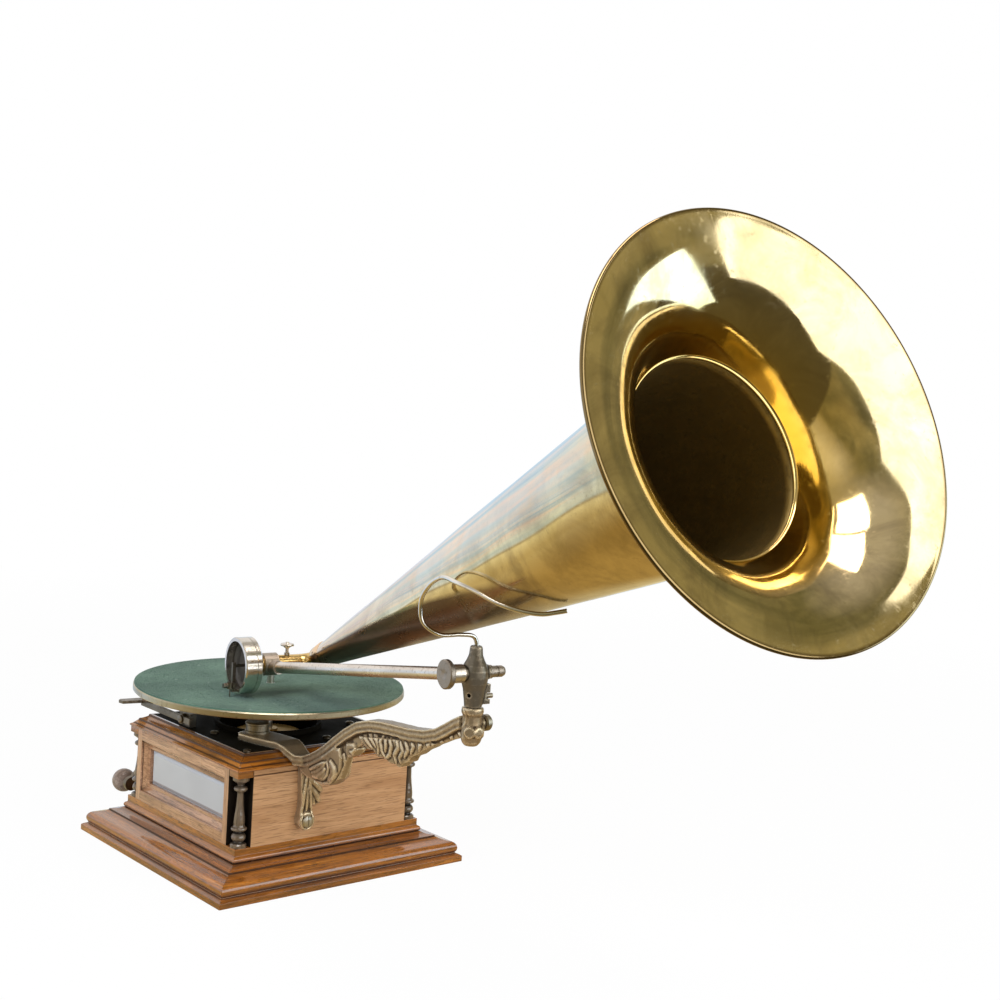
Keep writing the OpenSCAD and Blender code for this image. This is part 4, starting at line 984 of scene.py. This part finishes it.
def layPile(s):
    low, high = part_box("felt_mat")
    mid = Vector((low[0] + high[0], low[1] + high[1], 0)) / 2
    radius = (high[0] - low[0]) / 2 - s["inset"] * mm
    ring = s["ring"]
    points = [(mid.x, mid.y, high[2])]
    for k in range(ring):
        a = 2 * math.pi * k / ring
        points.append((mid.x + radius * math.cos(a), mid.y + radius * math.sin(a), high[2]))
    mesh = bpy.data.meshes.new("feltPile")
    mesh.from_pydata(points, [], [(0, k + 1, (k + 1) % ring + 1) for k in range(ring)])
    base = bpy.data.objects.new("feltPileBase", mesh)
    scene.collection.objects.link(base)
    rule = base.modifiers.new("pile", "NODES")
    rule.node_group = pileTree()
    values = {"Density": s["density"], "Length": s["length"] * mm, "Width": s["width"] * mm,
              "Lean": s["lean"], "Seed": s["seed"]}
    for item in rule.node_group.interface.items_tree:
        if item.in_out == "INPUT" and item.name in values:
            rule[item.identifier] = values[item.name]
    view = bpy.context.evaluated_depsgraph_get()
    made = bpy.data.meshes.new_from_object(base.evaluated_get(view))
    bpy.data.objects.remove(base)
    # fibres that stand over the spindle's hole are dropped
    bm = bmesh.new()
    bm.from_mesh(made)
    near = [v for v in bm.verts if (v.co.xy - mid.xy).length < s["hole"] * mm]
    bmesh.ops.delete(bm, geom=near, context="VERTS")
    bm.to_mesh(made)
    bm.free()
    outward(made)
    piece = addPiece("feltPile", made, "felt", "turntable")
    print("stage: felt pile", len(piece.data.polygons), "faces")


layPile(pile)


# floor, world and lamps; mirror rays see a dim surround with a pale cloth behind, in zones along backWay;
# on the floor these zones are a painted reflection that glows, with painted shade in front of the machine
studio = {
    "floorHalf": 9.0,
    "floorTone": (0.78, 0.77, 0.75), "floorRough": 0.9, "floorGlint": 0.05,
    "floorGlow": (0.4, 2.0, 0.95, 1.0),
    "backWay": (0.17, 0.985),
    "floorShade": (0.12, 0.10, 0.052), "shadeFrom": (-0.40, -0.80),
    "floorWarm": (0.46, 0.31, 0.104), "warmFrom": (-0.05, -0.22),
    "floorTan": (0.62, 0.50, 0.266),
    "floorPale": (0.88, 0.80, 0.548), "paleFrom": (0.02, 0.30),
    "floorEdge": (0.30, 0.25, 0.20), "edgeFrom": (0.34, 0.40, 0, 0.6),
    "clothFrom": (0.41, 0.50),
    "backdrop": (0.86, 0.98, 1.135),
    "backdropBlue": (0.52, 0.70, 0.95),
    "backdropRose": (1.12, 0.92, 0.88),
    "blueShare": (0.40, 0.62), "roseShare": (0.50, 0.66, 0, 0.8),
    "floorDrift": (1.7, 2, 0.5, 0.6), "floorBlush": (2.6, 2, 0.5, 0.4),
    "ambient": 0.30,
    "murkDrift": (2.3, 4, 0.6, 0.8),
    "murk": ((0.34, (0.14, 0.13, 0.063)), (0.5, (0.26, 0.23, 0.118)), (0.66, (0.40, 0.34, 0.17))),
    "leftWall": (0.80, 0.76, 0.72), "leftFromX": (-0.45, -0.85), "leftFromY": (-0.35, -0.05),
    "sky": (0.92, 1.00, 1.042),
    "skyBlue": (0.62, 0.80, 0.969), "skyFrom": (0.34, 0.52),
    "skyDrift": (3.4, 4, 0.6, 0.6), "skyBlush": (5.2, 3, 0.5, 0.4),
    "upper": (1.0, 0.95, 0.90), "upperFrom": (0.17, 0.30),
    "ceiling": (0.52, 0.48, 0.42), "ceilingFrom": (0.72, 0.9),
    "lamps": (
        ("keyPanel", (0.20, -2.72, 1.09), (0.02, -0.7, 0.47), (2.6, 2.8), 50, (1, 1, 1), True),
        ("sidePanel", (0.72, -1.10, 0.40), (-0.07, -0.64, 0.44), (0.40, 0.74), 2.5, (0.72, 0.88, 1.0), True),
        ("leftLamp", (-2.3, -0.5, 1.5), (-0.1, -0.1, 0.1), (1.6, 1.6), 64, (0.80, 0.93, 1.10), False),
        ("leftSkylight", (-0.56, -0.69, 2.5), (-0.56, -0.69, 0), (0.80, 0.95), 16, (1, 0.94, 0.88), True),
        ("rightSkylight", (0.33, -0.55, 2.5), (0.33, -0.55, 0), (0.86, 1.0), 17, (1, 0.85, 0.74), True),
    ),
}
white = (1, 1, 1)


def backDistance(shade, x, y, way):
    return shade.math("ADD", shade.times(x, way[0]), shade.times(y, way[1]))


# pale cloth with a drift of blue and a blush of rose
def clothTone(shade, s, drift, blush, pale, blue):
    cloth = shade.blendTone(shade.span(drift, *s["blueShare"]), pale, blue)
    return shade.blendTone(shade.span(blush, *s["roseShare"]), cloth, s["backdropRose"])


def buildFloor(s):
    half = s["floorHalf"]
    corners = [(-half, -half, 0), (half, -half, 0), (half, half, 0), (-half, half, 0)]
    mesh = bpy.data.meshes.new("floor")
    mesh.from_pydata(corners, [], [(0, 1, 2, 3)])
    floor = bpy.data.objects.new("floor", mesh)
    scene.collection.objects.link(floor)
    f = newShade("paleFloor")
    f.finish(**{"Base Color": (*s["floorTone"], 1), "Roughness": s["floorRough"],
                "Specular IOR Level": s["floorGlint"]})
    at = f.place()
    x, y = f.split(at)[:2]
    depth = backDistance(f, x, y, s["backWay"])
    # tones that mirror rays see on the floor: painted shade in front, warm and tan painted reflections, cloth
    # behind
    paintedFloorReflection = f.blendTone(f.span(depth, *s["shadeFrom"]), s["floorWarm"], s["floorShade"])
    tan = f.blendTone(f.span(depth, *s["paleFrom"]), s["floorTan"], s["floorPale"])
    paintedFloorReflection = f.blendTone(f.span(depth, *s["warmFrom"]), tan, paintedFloorReflection)
    paintedFloorReflection = f.blendTone(f.span(depth, *s["edgeFrom"]), paintedFloorReflection, s["floorEdge"])
    drift = f.noise(at, *s["floorDrift"])
    blush = f.noise(at, *s["floorBlush"])
    cloth = clothTone(f, s, drift, blush, s["backdrop"], s["backdropBlue"])
    paintedFloorReflection = f.blendTone(f.span(depth, *s["clothFrom"]), paintedFloorReflection, cloth)
    path = f.add("ShaderNodeLightPath")
    seen = f.seenDirectly(path)
    glow = f.add("ShaderNodeEmission")
    f.join(f.blendTone(seen, paintedFloorReflection, white), glow.inputs["Color"])
    bright = f.span(f.vector("LENGTH", at), *s["floorGlow"])
    # mirror rays see only the glow, a painted reflection; the camera sees the lit floor fading into white
    share = f.math("MAXIMUM", f.times(seen, bright), path.outputs["Is Glossy Ray"])
    mixed = f.blendShader(share, f.skin.outputs[0], glow.outputs[0])
    f.join(mixed, f.tree.nodes["Material Output"].inputs[0])
    floor.data.materials.append(f.owner)


def buildWorld(s):
    world = bpy.data.worlds.new("studioWorld")
    scene.world = world
    w = Shade(world)
    base = w.tree.nodes["Background"]
    base.inputs["Color"].default_value = (*white, 1)
    base.inputs["Strength"].default_value = s["ambient"]
    bright = w.add("ShaderNodeBackground")
    bright.inputs["Color"].default_value = (*white, 1)
    way = w.place("Generated")
    x, y, z = w.split(way)
    tone = w.ramp(w.noise(way, *s["murkDrift"]), s["murk"])
    left = w.times(w.span(x, *s["leftFromX"]), w.span(y, *s["leftFromY"]))
    tone = w.blendTone(left, tone, s["leftWall"])
    drift = w.noise(way, *s["skyDrift"])
    blush = w.noise(way, *s["skyBlush"])
    cloth = clothTone(w, s, drift, blush, s["sky"], s["skyBlue"])
    cloth = w.blendTone(w.span(z, *s["upperFrom"]), cloth, s["upper"])
    behind = backDistance(w, x, y, s["backWay"])
    tone = w.blendTone(w.span(behind, *s["skyFrom"]), tone, cloth)
    tone = w.blendTone(w.span(z, *s["ceilingFrom"]), tone, s["ceiling"])
    mirror = w.add("ShaderNodeBackground")
    w.join(tone, mirror.inputs["Color"])
    path = w.add("ShaderNodeLightPath")
    mixed = w.blendShader(path.outputs["Is Glossy Ray"], base.outputs[0], mirror.outputs[0])
    mixed = w.blendShader(w.seenDirectly(path), mixed, bright.outputs[0])
    w.join(mixed, w.tree.nodes["World Output"].inputs[0])


def hangLamps(s):
    for name, spot, aim, size, power, tint, mirrored in s["lamps"]:
        data = bpy.data.lights.new(name, "AREA")
        data.shape = "RECTANGLE"
        data.size = size[0]
        data.size_y = size[1]
        data.energy = power
        data.color = tint
        lamp = bpy.data.objects.new(name, data)
        lamp.location = spot
        lamp.rotation_euler = (Vector(aim) - Vector(spot)).to_track_quat("-Z", "Y").to_euler()
        lamp.visible_glossy = mirrored
        scene.collection.objects.link(lamp)


buildFloor(studio)
buildWorld(studio)
hangLamps(studio)
scene.view_settings.view_transform = "Standard"
print("stage: studio ready")
